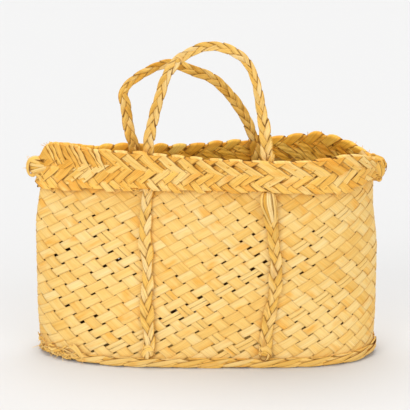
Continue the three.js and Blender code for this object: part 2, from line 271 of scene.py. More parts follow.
def half_depth(along, height):
    share = np.clip(height / WALL_HEIGHT, 0, HIGHEST_SHARE)
    base = np.maximum(0, 1 - np.abs(along) ** BASE_SQUARENESS) ** BASE_FULLNESS
    squareness = np.where(along < 0, FOOT_SQUARENESS[0], FOOT_SQUARENESS[1])
    fullness = np.where(along < 0, FOOT_FULLNESS[0], FOOT_FULLNESS[1])
    foot = np.maximum(0, 1 - np.abs(along) ** squareness) ** fullness
    base = mix(base, foot, smooth_step(*FOOT_FILLS_OUT, height))
    end = np.maximum(0, 1 - along ** MOUTH_SQUARENESS)
    opening = smooth_step(MOUTH_TURN_LEFT, MOUTH_TURN_RIGHT, along) ** MOUTH_SLOWNESS
    mouth = MOUTH_CLOSED * np.sqrt(end) + (1 - MOUTH_CLOSED) * opening * end ** MOUTH_FULLNESS
    belly = BELLY_DEPTH * np.sin(math.pi * np.minimum(1, share)) * base
    return mix(BASE_DEPTH / 2 * base, MOUTH_DEPTH / 2 * mouth, smooth_step(0, 1, share)) + belly


def reach(height, along):
    """How far the body goes towards the end that this place along it is nearer to."""
    share = np.clip(height / WALL_HEIGHT, 0, HIGHEST_SHARE)
    left = LEFT_DRAW[0] * smooth_step(LEFT_DRAW[1], LEFT_DRAW[2], share)
    right = RIGHT_DRAW[0] * smooth_step(RIGHT_DRAW[1], RIGHT_DRAW[2], share)
    drawn_in = np.where(along < 0, left, right)
    return HALF_LENGTH - drawn_in - FOOT_DRAW * smooth_step(FOOT_DRAW_TO, 0, share)


def corner_lift(along, height):
    lift = CORNER_LIFT * np.abs(along) ** CORNER_SHARPNESS
    return lift * smooth_step(CORNER_LIFT_TO, 0, height / WALL_HEIGHT)


def wall_point(turn, height):
    """Outer face. Turn 0 is the right end, pi the left end, 3/2 pi the middle of the front."""
    turn, height = np.broadcast_arrays(np.asarray(turn, float), np.asarray(height, float))
    along = np.cos(turn)
    across = np.sign(np.sin(turn)) * half_depth(along, height)
    return np.stack([reach(height, along) * along, across, height + corner_lift(along, height)], -1)


def wall_normal(turn, height):
    step = 0.02
    rise = 2.0
    around = wall_point(turn + step, height) - wall_point(turn - step, height)
    up = wall_point(turn, height + rise) - wall_point(turn, height - rise)
    return unit(np.cross(around, up))


def off_wall(turn, height, out):
    """Points that stand off the wall by a distance."""
    return wall_point(turn, height) + wall_normal(turn, height) * out


def girth_table(start, end, height, steps=3000):
    """Turns and the lengths walked to them along the wall at one height."""
    turns = np.linspace(start, end, steps)
    return lengths_along(wall_point(turns, np.full(steps, height))), turns


def side_girth(side, height):
    """The same along one side only, from its left end."""
    return girth_table(math.pi, 2 * math.pi if side == "front" else 0.0, height, 1500)


GIRTH_LENGTHS, GIRTH_TURNS = girth_table(math.pi, 3 * math.pi, 100.0)
GIRTH = GIRTH_LENGTHS[-1]


# Building pieces from flat leaves

def clear_selection():
    bpy.ops.object.select_all(action="DESELECT")


def sheet_of_leaf(points, lengths, widths, tint, edges=None):
    """A grid primitive with its vertices moved to the given rows of points, in millimetres.
    The lengths and widths are each vertex's place on the flat leaf. Edges go from 0 in the
    middle of the leaf to 1 at its edges; the finish paints crease shade where they are high."""
    rows, columns = points.shape[:2]
    clear_selection()
    bpy.ops.mesh.primitive_grid_add(x_subdivisions=columns - 1, y_subdivisions=rows - 1, size=1)
    leaf = bpy.context.object
    mesh = leaf.data
    flat = np.empty(len(mesh.vertices) * 3)
    mesh.vertices.foreach_get("co", flat)
    flat = flat.reshape(-1, 3)
    column = np.rint((flat[:, 0] + 0.5) * (columns - 1)).astype(int)
    row = np.rint((flat[:, 1] + 0.5) * (rows - 1)).astype(int)

    def at_vertices(values):
        return np.broadcast_to(values, (rows, columns))[row, column]

    def keep_values(name, values):
        attribute = mesh.attributes.new(name, "FLOAT", "POINT")
        attribute.data.foreach_set("value", values.astype(np.float32))

    placed = points[row, column] + np.array([BODY_MIDDLE_X, 0, 0])
    mesh.vertices.foreach_set("co", (placed * MILLIMETRE).ravel())
    corner_vertex = np.empty(len(mesh.loops), int)
    mesh.loops.foreach_get("vertex_index", corner_vertex)
    layer = mesh.uv_layers[0]
    layer.name = "leaf"
    places = np.stack([at_vertices(lengths), at_vertices(widths)], -1)[corner_vertex]
    layer.data.foreach_set("uv", (places * MILLIMETRE).ravel())
    if edges is None:
        edges = np.abs(widths) / np.max(np.abs(widths))
    keep_values("edge", at_vertices(edges))
    keep_values("tint", at_vertices(tint))
    keep_values("grain", np.full(len(mesh.vertices), chance.random()))
    mesh.update()
    return leaf


def join_leaves(leaves, name, material, thickness, inside=None, facing=False):
    """Leaves as one piece, given their thickness and smoothed. Their rear faces may have
    another material, such as the wall's darker copy with painted shade, and faces that look
    into the basket can be marked."""
    clear_selection()
    for leaf in leaves:
        leaf.select_set(True)
    bpy.context.view_layer.objects.active = leaves[0]
    bpy.ops.object.join()
    piece = bpy.context.object
    piece.name = name
    piece.data.name = name
    piece.data.materials.clear()
    piece.data.materials.append(material)
    thicken = piece.modifiers.new("thickness", "SOLIDIFY")
    thicken.thickness = thickness * MILLIMETRE
    thicken.offset = 0
    if inside is not None:
        piece.data.materials.append(inside)
        thicken.material_offset = 1
    bpy.ops.object.modifier_apply(modifier=thicken.name)
    bpy.ops.object.shade_smooth_by_angle(angle=math.radians(50))
    if facing:
        mark_inward(piece.data)
    return piece


def mark_inward(mesh):
    """Marks the vertices whose faces look into the basket."""
    count = len(mesh.vertices)
    places = np.empty(count * 3)
    normals = np.empty(count * 3)
    mesh.vertices.foreach_get("co", places)
    mesh.vertices.foreach_get("normal", normals)
    places = places.reshape(-1, 3) / MILLIMETRE - np.array([BODY_MIDDLE_X, 0, 0])
    normals = normals.reshape(-1, 3)
    # out of the basket is to the front or rear, near the ends towards them, and a little up
    along = np.clip(places[:, 0] / HALF_LENGTH, -1, 1)
    outward = unit(np.stack([3 * along ** 7, np.sign(places[:, 1]), np.full(count, 0.3)], -1))
    inward = mesh.attributes.new("inward", "FLOAT", "POINT")
    turned_in = smooth_step(0.15, -0.15, np.sum(outward * normals, -1))
    inward.data.foreach_set("value", turned_in.astype(np.float32))


# Finishes

# Noise drawn out along a leaf: its name, repeats in a metre along and across, and detail
FIBRE_NOISES = [("Lines", 45, 2600, 3), ("Stain", 38, 90, 2), ("Paleness", 14, 260, 2)]
LEAVES_APART = 37.0
PALENESS_SWING = 1.1
STAIN_SOFTNESS = 0.16
STAIN_STRENGTH = 0.75
LINE_LEVELS = (0.3, 0.7)
LINE_LIFT = 0.0004
# Painted crease shade: a brown laid over the leaves' edges and crossings, from this edge value up
CREASE_SHADE_FROM = 0.8
CREASE_SHADE_BROWN = (0.3, 0.12, 0.02)
# Painted shade down in the basket: the leaves are darkened between these heights, in metres
PAINTED_SHADE_HEIGHTS = (0.19, 0.14)
PAINTED_SHADE_SHARE = 0.94
PAINTED_SHADE_BROWN = (0.05, 0.014, 0.002)


def add_node(tree, kind, inputs=None, **settings):
    """A node with its settings made, and its inputs set to values or linked to outputs."""
    node = tree.nodes.new(kind)
    for name, setting in settings.items():
        setattr(node, name, setting)
    for name, value in (inputs or {}).items():
        if isinstance(value, bpy.types.NodeSocket):
            tree.links.new(value, node.inputs[name])
        else:
            node.inputs[name].default_value = value
    return node


def fibre_group():
    """Fine lines along a leaf, long stains and paler stretches, other ones on each leaf."""
    group = bpy.data.node_groups.new("leaf_fibres", "ShaderNodeTree")
    group.interface.new_socket("Place", in_out="INPUT", socket_type="NodeSocketVector")
    group.interface.new_socket("Leaf", in_out="INPUT", socket_type="NodeSocketFloat")
    for name, _, _, _ in FIBRE_NOISES:
        group.interface.new_socket(name, in_out="OUTPUT", socket_type="NodeSocketFloat")
    taken = group.nodes.new("NodeGroupInput")
    given = group.nodes.new("NodeGroupOutput")
    leaf = taken.outputs["Leaf"]
    offset = add_node(group, "ShaderNodeCombineXYZ", {"X": leaf, "Y": leaf, "Z": leaf})
    inputs = {0: offset.outputs["Vector"], "Scale": LEAVES_APART}
    apart = add_node(group, "ShaderNodeVectorMath", inputs, operation="SCALE")
    for name, along, across, detail in FIBRE_NOISES:
        inputs = {0: taken.outputs["Place"], 1: (along, across, 0), 2: apart.outputs["Vector"]}
        drawn_out = add_node(group, "ShaderNodeVectorMath", inputs, operation="MULTIPLY_ADD")
        inputs = {"Vector": drawn_out.outputs["Vector"], "Scale": 1.0, "Detail": detail}
        noise = add_node(group, "ShaderNodeTexNoise", inputs)
        group.links.new(noise.outputs["Fac"], given.inputs[name])
    return group


FIBRES = fibre_group()


def leaf_material(
    name, deep, straw, pale, stain, line_strength=0.16, stain_from=0.56, roughness=0.52,
    bump=0.25, shaded=False, crease_shade_strength=0.35, inner=None,
):
    """Dried flax leaf. The leaf's own tint moves it between a deep, a straw and a pale tone."""
    material = bpy.data.materials.new(name)
    material.use_nodes = True
    tree = material.node_tree
    shader = tree.nodes["Principled BSDF"]

    def attribute(of):
        return add_node(tree, "ShaderNodeAttribute", attribute_name=of).outputs["Fac"]

    def ranged(value, start, end, low, high):
        inputs = {"Value": value, "From Min": start, "From Max": end, "To Min": low, "To Max": high}
        return add_node(tree, "ShaderNodeMapRange", inputs).outputs["Result"]

    def towards(color, other, share, blend="MIX"):
        inputs = {"A": color, "B": (*other, 1), "Factor": share}
        mixed = add_node(tree, "ShaderNodeMix", inputs, data_type="RGBA", blend_type=blend)
        return mixed.outputs["Result"]

    place = add_node(tree, "ShaderNodeUVMap", uv_map="leaf").outputs["UV"]
    inputs = {"Place": place, "Leaf": attribute("grain")}
    fibres = add_node(tree, "ShaderNodeGroup", inputs, node_tree=FIBRES).outputs

    inputs = {0: fibres["Paleness"], 1: PALENESS_SWING, 2: -PALENESS_SWING / 2}
    paleness = add_node(tree, "ShaderNodeMath", inputs, operation="MULTIPLY_ADD")
    inputs = {0: paleness.outputs["Value"], 1: attribute("tint")}
    tone = add_node(tree, "ShaderNodeMath", inputs, operation="ADD")
    ramp = add_node(tree, "ShaderNodeValToRGB", {"Fac": tone.outputs["Value"]})
    ramp.color_ramp.elements[0].color = (*deep, 1)
    ramp.color_ramp.elements[1].color = (*pale, 1)
    ramp.color_ramp.elements.new(0.5).color = (*straw, 1)

    stained = ranged(fibres["Stain"], stain_from, stain_from + STAIN_SOFTNESS, 0, STAIN_STRENGTH)
    color = towards(ramp.outputs["Color"], stain, stained)
    lined = ranged(fibres["Lines"], *LINE_LEVELS, 1 - line_strength, 1 + line_strength / 2)
    scaled = add_node(tree, "ShaderNodeVectorMath", {0: color, "Scale": lined}, operation="SCALE")
    # painted crease shade along the leaves' edges, where they meet and pass under others
    crease_shade_share = ranged(attribute("edge"), CREASE_SHADE_FROM, 1.0, 0, crease_shade_strength)
    color = towards(scaled.outputs["Vector"], CREASE_SHADE_BROWN, crease_shade_share)
    if inner is not None:
        # painted shade: a strip's side that faces into the basket is darkened
        color = towards(color, inner, attribute("inward"), "MULTIPLY")
    if shaded:
        # painted shade, darker further down in the basket
        where = add_node(tree, "ShaderNodeTexCoord").outputs["Object"]
        height = add_node(tree, "ShaderNodeSeparateXYZ", {"Vector": where}).outputs["Z"]
        color = towards(color, PAINTED_SHADE_BROWN, ranged(height, *PAINTED_SHADE_HEIGHTS, 0, PAINTED_SHADE_SHARE))
    tree.links.new(color, shader.inputs["Base Color"])

    inputs = {"Strength": bump, "Distance": LINE_LIFT, "Height": fibres["Lines"]}
    lift = add_node(tree, "ShaderNodeBump", inputs)
    tree.links.new(lift.outputs["Normal"], shader.inputs["Normal"])
    shader.inputs["Roughness"].default_value = roughness
    shader.inputs["Specular IOR Level"].default_value = 0.2
    return material


wall_leaf = leaf_material(
    "wall_leaf", deep=(0.86, 0.48, 0.095), straw=(0.96, 0.625, 0.19), pale=(0.98, 0.73, 0.32),
    stain=(0.92, 0.44, 0.055),
)
# The inward faces of the wall's strips: a deeper copy of the wall's leaf as painted shade, darkest
# low in the basket
inner_painted_shade_leaf = leaf_material(
    "inner_painted_shade_leaf", deep=(0.5, 0.24, 0.04), straw=(0.62, 0.34, 0.07), pale=(0.7, 0.42, 0.1),
    stain=(0.45, 0.2, 0.03), shaded=True,
)
rim_leaf = leaf_material(
    "rim_leaf", deep=(0.87, 0.42, 0.055), straw=(0.98, 0.575, 0.12), pale=(0.99, 0.69, 0.25),
    stain=(0.88, 0.38, 0.04), line_strength=0.24, bump=0.4, crease_shade_strength=0.9,
    # inner is painted shade on the rim's faces that look into the basket
    inner=(1.0, 0.9, 0.48),
)
base_leaf = leaf_material(
    "base_leaf", deep=(0.8, 0.41, 0.06), straw=(0.93, 0.56, 0.125), pale=(0.97, 0.68, 0.25),
    stain=(0.85, 0.4, 0.045), crease_shade_strength=0.9,
)
plait_leaf = leaf_material(
    "plait_leaf", deep=(0.76, 0.37, 0.04), straw=(0.93, 0.555, 0.12), pale=(0.98, 0.7, 0.3),
    stain=(0.6, 0.25, 0.025), line_strength=0.28, stain_from=0.6, roughness=0.5, bump=0.5,
    crease_shade_strength=0.85,
)


# The woven wall

def weave_line(slopes, spacing, count):
    """Two tables along the wall's girth: strips crossed going up a millimetre, and strips
    crossed going along from the start. The rear mirrors the front."""
    places = GIRTH_LENGTHS
    front = np.minimum(places, GIRTH - places)
    up = 1 / np.interp(front, WEAVE_PLACES, spacing)
    rate = np.interp(front, WEAVE_PLACES, slopes) * up
    crossed = np.concatenate([[0], np.cumsum((rate[1:] + rate[:-1]) / 2 * np.diff(places))])
    return up, crossed * count / crossed[-1]


RISING_UP, RISING_ALONG = weave_line(RISING_SLOPES, RISING_SPACING, RISING_COUNT)
FALLING_UP, FALLING_ALONG = weave_line(FALLING_SLOPES, FALLING_SPACING, FALLING_COUNT)


def around(place, table, count=0):
    """A table's value at a place that may lie beyond one turn round the basket."""
    laps = np.floor(place / GIRTH)
    return np.interp(place - laps * GIRTH, GIRTH_LENGTHS, table) + laps * count


def turn_at(place):
    return around(place, GIRTH_TURNS, 2 * math.pi)


def openness(place, height):
    """1 where the weave is open enough to leave holes, 0 where it is packed."""
    lap = place % GIRTH
    front = np.minimum(lap, GIRTH - lap)
    right = [GIRTH / 2 - distance for distance in OPEN_FROM_RIGHT]
    sides = smooth_step(*OPEN_FROM_LEFT, front) * smooth_step(*right, front)
    levels = smooth_step(*OPEN_FROM_FOOT, height) * smooth_step(*OPEN_FROM_TOP, height)
    spots = np.zeros_like(front)
    for place_of, height_of, spread, strength in OPEN_SPOTS:
        distance = ((front - place_of) / spread) ** 2 + ((height - height_of) / spread) ** 2
        spots = np.maximum(spots, strength * np.exp(-distance))
    return sides * levels * np.where(lap < GIRTH / 2, OPEN_EVERYWHERE + spots, 0.0)


def flattened(wave):
    flatness = 2.4
    return np.tanh(flatness * wave) / math.tanh(flatness)


# Places along a strip's way round the basket, from some laps back to some laps on
STRIP_PLACES = np.linspace(-1.2 * GIRTH, 2.0 * GIRTH, 6400)


def wall_strip(order, family, width_share, shift, tint, half=None):
    """One strip of the wall. Half, -1 or 1, gives one side of a strip that has split."""
    rising = family == "rising"
    rising_up = around(STRIP_PLACES, RISING_UP)
    rising_along = around(STRIP_PLACES, RISING_ALONG, RISING_COUNT)
    falling_up = around(STRIP_PLACES, FALLING_UP)
    falling_along = around(STRIP_PLACES, FALLING_ALONG, FALLING_COUNT)

    def height_of(line):
        if rising:
            return (line + RISING_START + rising_along) / rising_up
        return (line + FALLING_START - falling_along) / falling_up

    def other_line(height):
        if rising:
            return height * falling_up + falling_along - FALLING_START
        return height * rising_up - rising_along - RISING_START

    middle = order + 0.5 + shift
    heights = height_of(middle)
    tops = rim_foot(turn_at(STRIP_PLACES)) + WEAVE_UNDER_RIM
    inside = (heights > WEAVE_FOOT - 2) & (heights < tops)
    crossed = other_line(heights)[inside]
    first, last = crossed.min(), crossed.max()
    steps = max(4, int(round((last - first) * STEPS_PER_CROSSING)))
    others = np.linspace(first, last, steps + 1)

    def at_crossings(line):
        """The places and heights where a line along the strip crosses the other family."""
        heights = height_of(line)
        other = other_line(heights)
        ordered = np.argsort(other)
        place = np.interp(others, other[ordered], STRIP_PLACES[ordered])
        return place, np.interp(others, other[ordered], heights[ordered])

    shares = np.linspace(-0.5, 0.5, STEPS_ACROSS + 1)
    centre = 0 if half is None else SPLIT_PLACE * half
    if half is not None:
        shares = shares * SPLIT_WIDTH + centre
    opened, wavering, rate = NARROWING[family]
    wobble = wavering * np.sin(others * rate + chance.uniform(0, 20))
    middle_place, middle_height = at_crossings(middle)
    rows = []
    for share in shares:
        place, height = at_crossings(middle + share * width_share)
        narrow = opened * openness(place, height) + wobble
        rows.append((mix(place, middle_place, narrow), mix(height, middle_height, narrow)))
    place, height = np.array(rows).transpose(1, 2, 0)
    height = np.maximum(height, WEAVE_FOOT)
    over = (1 if order % 2 == 0 else -1) * (1 if rising else -1)
    wave = over * flattened(np.sin(math.pi * others))[:, None]
    cup = WEAVE_CUP * (1 - (2 * shares) ** 2)[None, :]
    out = WEAVE_SWAY * wave + cup - WEAVE_SWAY - LEAF_THICKNESS / 2
    points = off_wall(turn_at(place), height, out[..., None])
    lengths = lengths_along(points[:, STEPS_ACROSS // 2]) + FIBRE_SHIFT * tint
    widths = (shares - centre) * LEAF_WIDTHS[family]
    if rising:
        # turned over, so that its front faces out as the falling strips' fronts do
        points = points[:, ::-1]
    # painted shadow of the rim, deeper just under it
    tints = np.clip(tint - RIM_SHADOW_PAINT * smooth_step(*RIM_SHADOW_PAINT_HEIGHTS, height), 0, 1)
    return sheet_of_leaf(points, lengths[:, None], widths[None, :], tints)


def wall_leaves(family):
    count, first, widths = WALL_FAMILIES[family]
    leaves = []
    for order in range(first, first + count):
        tint = drawn_tint(*WALL_TINT)
        width = chance.uniform(*widths)
        shift = chance.uniform(-0.05, 0.05)
        halves = (-1, 1) if chance.random() < SPLIT_CHANCE else (None,)
        leaves += [wall_strip(order, family, width, shift, tint, half) for half in halves]
    return leaves


rising_leaves = join_leaves(
    wall_leaves("rising"), "wall_rising_leaves", wall_leaf, LEAF_THICKNESS, inner_painted_shade_leaf,
)
falling_leaves = join_leaves(
    wall_leaves("falling"), "wall_falling_leaves", wall_leaf, LEAF_THICKNESS, inner_painted_shade_leaf,
)


# The woven floor

def floor_leaves(direction):
    """Flat strips across the bottom, rising to the right (1) or falling to the right (-1)."""
    leaves = []
    slope = FLOOR_SLOPE * direction
    count = int((BODY_LENGTH + BASE_DEPTH) / FLOOR_SPACING) + 4
    shares = np.linspace(-0.5, 0.5, 3)[None, :]

    def half_room(xs):
        outline = half_depth(xs / HALF_LENGTH, np.full_like(xs, FLOOR_OUTLINE_HEIGHT))
        return outline - FLOOR_INSET

    for order in range(-count, count):
        start = order * FLOOR_SPACING
        xs = np.linspace(-HALF_LENGTH, HALF_LENGTH, 1201)
        within = xs[np.abs(slope * (xs - start)) < half_room(xs)]
        if len(within) < FLOOR_FEWEST_PLACES:
            continue
        span = within.max() - within.min()
        run = np.linspace(within.min(), within.max(), max(3, int(span / FLOOR_STEP)))
        over = direction * (1 if order % 2 == 0 else -1)
        wave = over * flattened(np.sin(math.pi * (2 * run - start) / FLOOR_SPACING))
        x = np.broadcast_to(run[:, None], (len(run), 3))
        height = np.broadcast_to(FLOOR_HEIGHT + FLOOR_SWAY * wave[:, None], x.shape)
        y = slope * (x - start) + shares * FLOOR_SPACING * FLOOR_SLOPE * FLOOR_LEAF_SHARE
        limit = half_room(x) + FLOOR_OVERHANG
        points = np.stack([x, np.clip(y, -limit, limit), height], -1)
        tint = drawn_tint(*FLOOR_TINT)
        widths = shares * FLOOR_LEAF_WIDTH
        leaves.append(sheet_of_leaf(points, run[:, None] + FIBRE_SHIFT * tint, widths, tint))
    return leaves


woven_floor = join_leaves(
    floor_leaves(1) + floor_leaves(-1), "woven_floor", wall_leaf, LEAF_THICKNESS,
)


# Plaits of three flat strips, folded over at both edges

# A plait's form. Width is its own and lay the length in which a strand returns to its place.
# Leaf is half a strand's width for each strip's length, and spread how much wider it is where
# it passes behind or folds over. Sway is how far a strand moves out of the plait's face, and
# edge_depth which share of that it has at the edges. Cup crowns a strand, tilt lays one edge
# over the next strip, and lobe bulges its folds. Bumpy is the size and ruffle the rate of the
# unevenness. Core is the inner strip's share of the width, and split the share of stretches
# where the leaf has split. The others are steps: along, round a fold and across.
HANDLE_FORM = {
    "width": 9.2, "lay": 42.0, "leaf": 0.5, "spread": 0.0, "sway": 1.3, "edge_depth": -0.4,
    "cup": 0.75, "tilt": 0.55, "lobe": 0.8, "bumpy": 0.8, "ruffle": 0.16, "core": 0.8,
    "split": 0.0, "tint": 0.6, "steps": 16, "fold_steps": 4, "columns": 9,
}
# The rear handle and its tails have a deeper tint: painted shade, as they lie in the front handle's
# and the basket's shade
REAR_HANDLE_SHADED_FORM = dict(HANDLE_FORM, tint=0.42)
TAIL_FORM = dict(HANDLE_FORM, width=10.2, bumpy=1.0)
REAR_TAIL_SHADED_FORM = dict(TAIL_FORM, tint=0.35)
BASE_FORM = dict(HANDLE_FORM, width=7.6, lay=72.0, sway=0.7, cup=0.35, tint=0.72)
RIM_FORM = {
    "width": 34.6, "lay": 56.5, "leaf": 0.38, "spread": 0.3, "sway": 1.2, "edge_depth": 0.9,
    "cup": 0.15, "tilt": 0.3, "lobe": 0.6, "bumpy": 0.8, "ruffle": 0.09, "core": 0.82,
    "split": 0.0, "tint": 0.3, "steps": 24, "fold_steps": 5, "columns": 9,
}
LEG_UNITS = 1.5
CORE_TINT = 0.1
# The core is painted with crease shade nearly all over, as it shows only in the gaps between strands
CORE_CREASE_SHADE = 0.95


def folded_strand(route, total, order, form, pitch_at=None):
    """One strip of a flat plait. It goes slanting from edge to edge and folds over there,
    passes over the strip that it meets first and under the next one. Near the plait's edges
    each strip's right side lies over the next strip. The route gives the place of each
    length along the plait, distance across it and height out of its face."""
    fine = np.linspace(0, total, 2400)
    pitch = np.full_like(fine, form["lay"] / 3) if pitch_at is None else pitch_at(fine)
    units = np.concatenate([[0], np.cumsum(np.diff(fine) / ((pitch[1:] + pitch[:-1]) / 2))])
    half_across = form["width"] / 2
    sway = form["sway"]
    edge_depth = form["edge_depth"]
    reach_across = half_across - sway * abs(edge_depth)
    leg_steps = form["steps"]
    fold_steps = form["fold_steps"]
    rows = []
    tints = []
    splits = []
    base_tint = chance.gauss(form["tint"], 0.08)
    for leg in range(-1, int(math.ceil(units[-1] / LEG_UNITS)) + 2):
        slant = 1 if leg % 2 == 0 else -1
        first_unit = leg * LEG_UNITS + order + chance.uniform(-0.06, 0.06)
        tints += [base_tint + chance.gauss(0, 0.16)] * (leg_steps + fold_steps)
        splits += [float(chance.random() < form["split"])] * (leg_steps + fold_steps)
        for share in np.linspace(0, 1, leg_steps + 1):
            across = slant * reach_across * (1 - 2 * share)
            rows.append((first_unit + LEG_UNITS * share, across, slant, 0.0))
        for i in range(1, fold_steps):
            turned = math.pi * i / fold_steps
            rows.append((first_unit + LEG_UNITS, -slant * reach_across, slant, turned))
    rows = np.array(rows)
    middle = np.interp(rows[:, 0], units, fine, left=np.nan, right=np.nan)
    shown = ~np.isnan(middle)
    middle = middle[shown][:, None]
    across, slant, fold = rows[shown, 1:].T[..., None]
    tints = np.clip(np.array(tints)[shown], 0, 1)[:, None]
    splits = np.array(splits)[shown][:, None]
    shares = np.linspace(-1, 1, form["columns"])[None, :]
    unit_length = np.interp(middle, fine, pitch)
    ruffle = [chance.uniform(0, 6.28) for _ in range(4)]
    along = middle * form["ruffle"]
    slope = 2 * half_across / (LEG_UNITS * unit_length)
    width = form["leaf"] * unit_length * (1 + 0.06 * np.sin(along + ruffle[0]))

    def depth_at(place_across, sign):
        level = np.abs(place_across / half_across)
        inner = np.sin(math.pi / 2 * np.minimum(1, 3 * level))
        outer = 1 - (1 + edge_depth) * smooth_step(1 / 3, 0.66, level)
        return np.sign(place_across) * np.where(level < 1 / 3, inner, outer) * sign

    # the strip spreads where it passes behind another and where it folds over an edge
    behind = smooth_step(0.3, -0.7, depth_at(across, slant))
    folded = smooth_step(0.5, 0.95, np.abs(across) / half_across)
    width = width * (1 + form["spread"] * np.maximum(behind, folded))
    place = middle + width * shares
    level = across - slant * width * shares * slope / 2
    depth = depth_at(np.clip(level, -half_across, half_across), slant)
    tilt = form["tilt"] * smooth_step(0.25, 0.55, np.abs(level) / half_across)
    split = splits * smooth_step(0.1, -0.25, across / half_across)
    crown = 1 - shares ** 2
    humps = mix(crown, np.abs(np.sin(math.pi * shares)), split)
    near_edge = np.abs(across / half_across) ** 3
    bumpy = 0.6 * np.sin(along * 3.3 + ruffle[1]) + 0.4 * np.sin(along * 1.4 + ruffle[2])
    lobe = form["lobe"] * crown * np.sign(across) + form["bumpy"] * bumpy
    out = sway * depth * np.cos(fold) + tilt * shares
    out = out + form["cup"] * humps * np.where(depth > 0, 1, -1) * np.cos(fold)
    out = out + 0.4 * form["bumpy"] * np.sin(along * 2.1 + ruffle[3])
    reached = across + np.sign(across) * sway * np.abs(depth) * np.sin(fold) + lobe * near_edge
    points = route(np.clip(place, 0, total), reached, out)
    lengths = lengths_along(np.hstack([middle, across]))
    # painted crease shade where a strip dives under the next one
    diving_shade = 0.8 + 0.16 * smooth_step(0.3, 0.0, np.abs(depth))
    edges = np.maximum(np.broadcast_to(np.abs(shares), place.shape), diving_shade)
    edges = np.maximum(edges, split * np.where(np.abs(shares) < 0.05, 1.0, 0.0))
    # painted shade: strips that come up to the far edge are darkened there, where they lie in shade
    far_edge_shade = smooth_step(0.35, 0.6, across / half_across)
    tints = tints - 0.25 * np.where(slant < 0, far_edge_shade, 0)
    return sheet_of_leaf(points, lengths[:, None], shares * form["width"] / 4, tints, edges)


def plait_core(route, total, form):
    """A flat strip inside a plait that closes the gaps between its strands."""
    lengths = np.linspace(0, total, max(12, int(total / 4)))[:, None]
    half = form["width"] * form["core"] / 2
    lengths, across = np.broadcast_arrays(lengths, half * np.linspace(-1, 1, 5)[None, :])
    points = route(lengths, across, np.zeros_like(across))
    return sheet_of_leaf(points, lengths, across, CORE_TINT, CORE_CREASE_SHADE)


def whole_plait(route, total, form, pitch_at=None):
    strands = [folded_strand(route, total, order, form, pitch_at) for order in range(3)]
    return strands + [plait_core(route, total, form)]


# Ribbons and fibres

FIBRE_HALF = 0.16
FIBRE_FACING = [0.0, -1.0, 0.3]
RIBBON_CUP = 0.25


def smooth_curve(points):
    """A fine line along a centripetal Catmull-Rom curve, and the lengths along it."""
    points = np.asarray(points, float)
    padded = np.vstack([2 * points[0] - points[1], points, 2 * points[-1] - points[-2]])
    pieces = []
    for i in range(1, len(padded) - 2):
        p0, p1, p2, p3 = padded[i - 1:i + 3]
        t1 = np.linalg.norm(p1 - p0) ** 0.5
        t2 = t1 + np.linalg.norm(p2 - p1) ** 0.5
        t3 = t2 + np.linalg.norm(p3 - p2) ** 0.5
        t = np.linspace(t1, t2, 40, endpoint=False)[:, None]
        a1 = (t1 - t) / t1 * p0 + t / t1 * p1
        a2 = (t2 - t) / (t2 - t1) * p1 + (t - t1) / (t2 - t1) * p2
        a3 = (t3 - t) / (t3 - t2) * p2 + (t - t2) / (t3 - t2) * p3
        b1 = (t2 - t) / t2 * a1 + t / t2 * a2
        b2 = (t3 - t) / (t3 - t1) * a2 + (t - t1) / (t3 - t1) * a3
        pieces.append((t2 - t) / (t2 - t1) * b1 + (t - t1) / (t2 - t1) * b2)
    pieces.append(padded[-2][None])
    dense = np.vstack(pieces)
    return dense, lengths_along(dense)


def curve_line(points, count=None):
    """Points at even steps along a smooth curve, about 1.2 mm apart or as many as given."""
    dense, lengths = smooth_curve(points)
    count = count or max(8, int(lengths[-1] / 1.2))
    return points_at(np.linspace(0, lengths[-1], count), lengths, dense)


def ribbon(line, outs, half, tint, edge_shade=1.0):
    """A narrow leaf along a line, its face turned out."""
    tangent = unit(np.gradient(line, axis=0))
    outs = unit(outs - tangent * np.sum(outs * tangent, -1, keepdims=True))
    across = np.cross(tangent, outs)
    shares = np.linspace(-1, 1, 5)[None, :]
    halves = np.broadcast_to(half, len(line))[:, None]
    aside = across[:, None, :] * (halves * shares)[..., None]
    crown = outs[:, None, :] * (RIBBON_CUP * halves * (1 - shares ** 2))[..., None]
    points = line[:, None, :] + aside + crown
    lengths = lengths_along(line)[:, None]
    edges = edge_shade * np.abs(shares)
    return sheet_of_leaf(points, lengths, shares * np.max(halves), tint, edges)


def bent_ribbon(points, middle, half, tint):
    """A ribbon along a smooth curve through the points, its face turned away from the middle."""
    line = curve_line(points)
    return ribbon(line, line - np.asarray(middle, float), half, tint)


def any_direction():
    return unit(np.array([chance.gauss(0, 1), chance.gauss(0, 1), chance.gauss(0, 1)]))


def wound_leaves(middle, sizes, count, halves):
    """Narrow leaves wound about one another into a small bulb."""
    leaves = []
    for order in range(count):
        axis = any_direction()
        first = unit(np.cross(axis, any_direction()))
        second = np.cross(axis, first)
        reached = math.pi * chance.uniform(0.8, 1.5)
        angle = np.linspace(0, reached, 17)[:, None]
        size = chance.uniform(0.6, 1.0)
        direction = first * np.cos(angle) + second * np.sin(angle)
        wander = axis * 0.25 * np.sin(angle * 1.5 + order)
        line = middle + (direction + wander) * np.asarray(sizes) * size
        tint = drawn_tint(0.45, 0.25)
        leaves.append(ribbon(line, direction / sizes, chance.uniform(*halves), tint))
    return leaves


def loose_fibres(places, directions, lengths, tint=0.8):
    """Fine fibres that stand off the leaves and bend over."""
    leaves = []
    for place, direction in zip(places, directions):
        length = chance.uniform(*lengths)
        bend = any_direction() * 0.35 * length
        step = np.linspace(0, 1, 7)[:, None]
        line = np.asarray(place, float) + unit(direction) * step * length + bend * step ** 2
        half = FIBRE_HALF * np.linspace(1, 0.5, 7)
        leaves.append(ribbon(line, np.broadcast_to(FIBRE_FACING, line.shape), half, tint, 0.0))
    return leaves


# The rim

RIM_REACH = 18.2
RIM_GIRTH_HEIGHT = 182.0
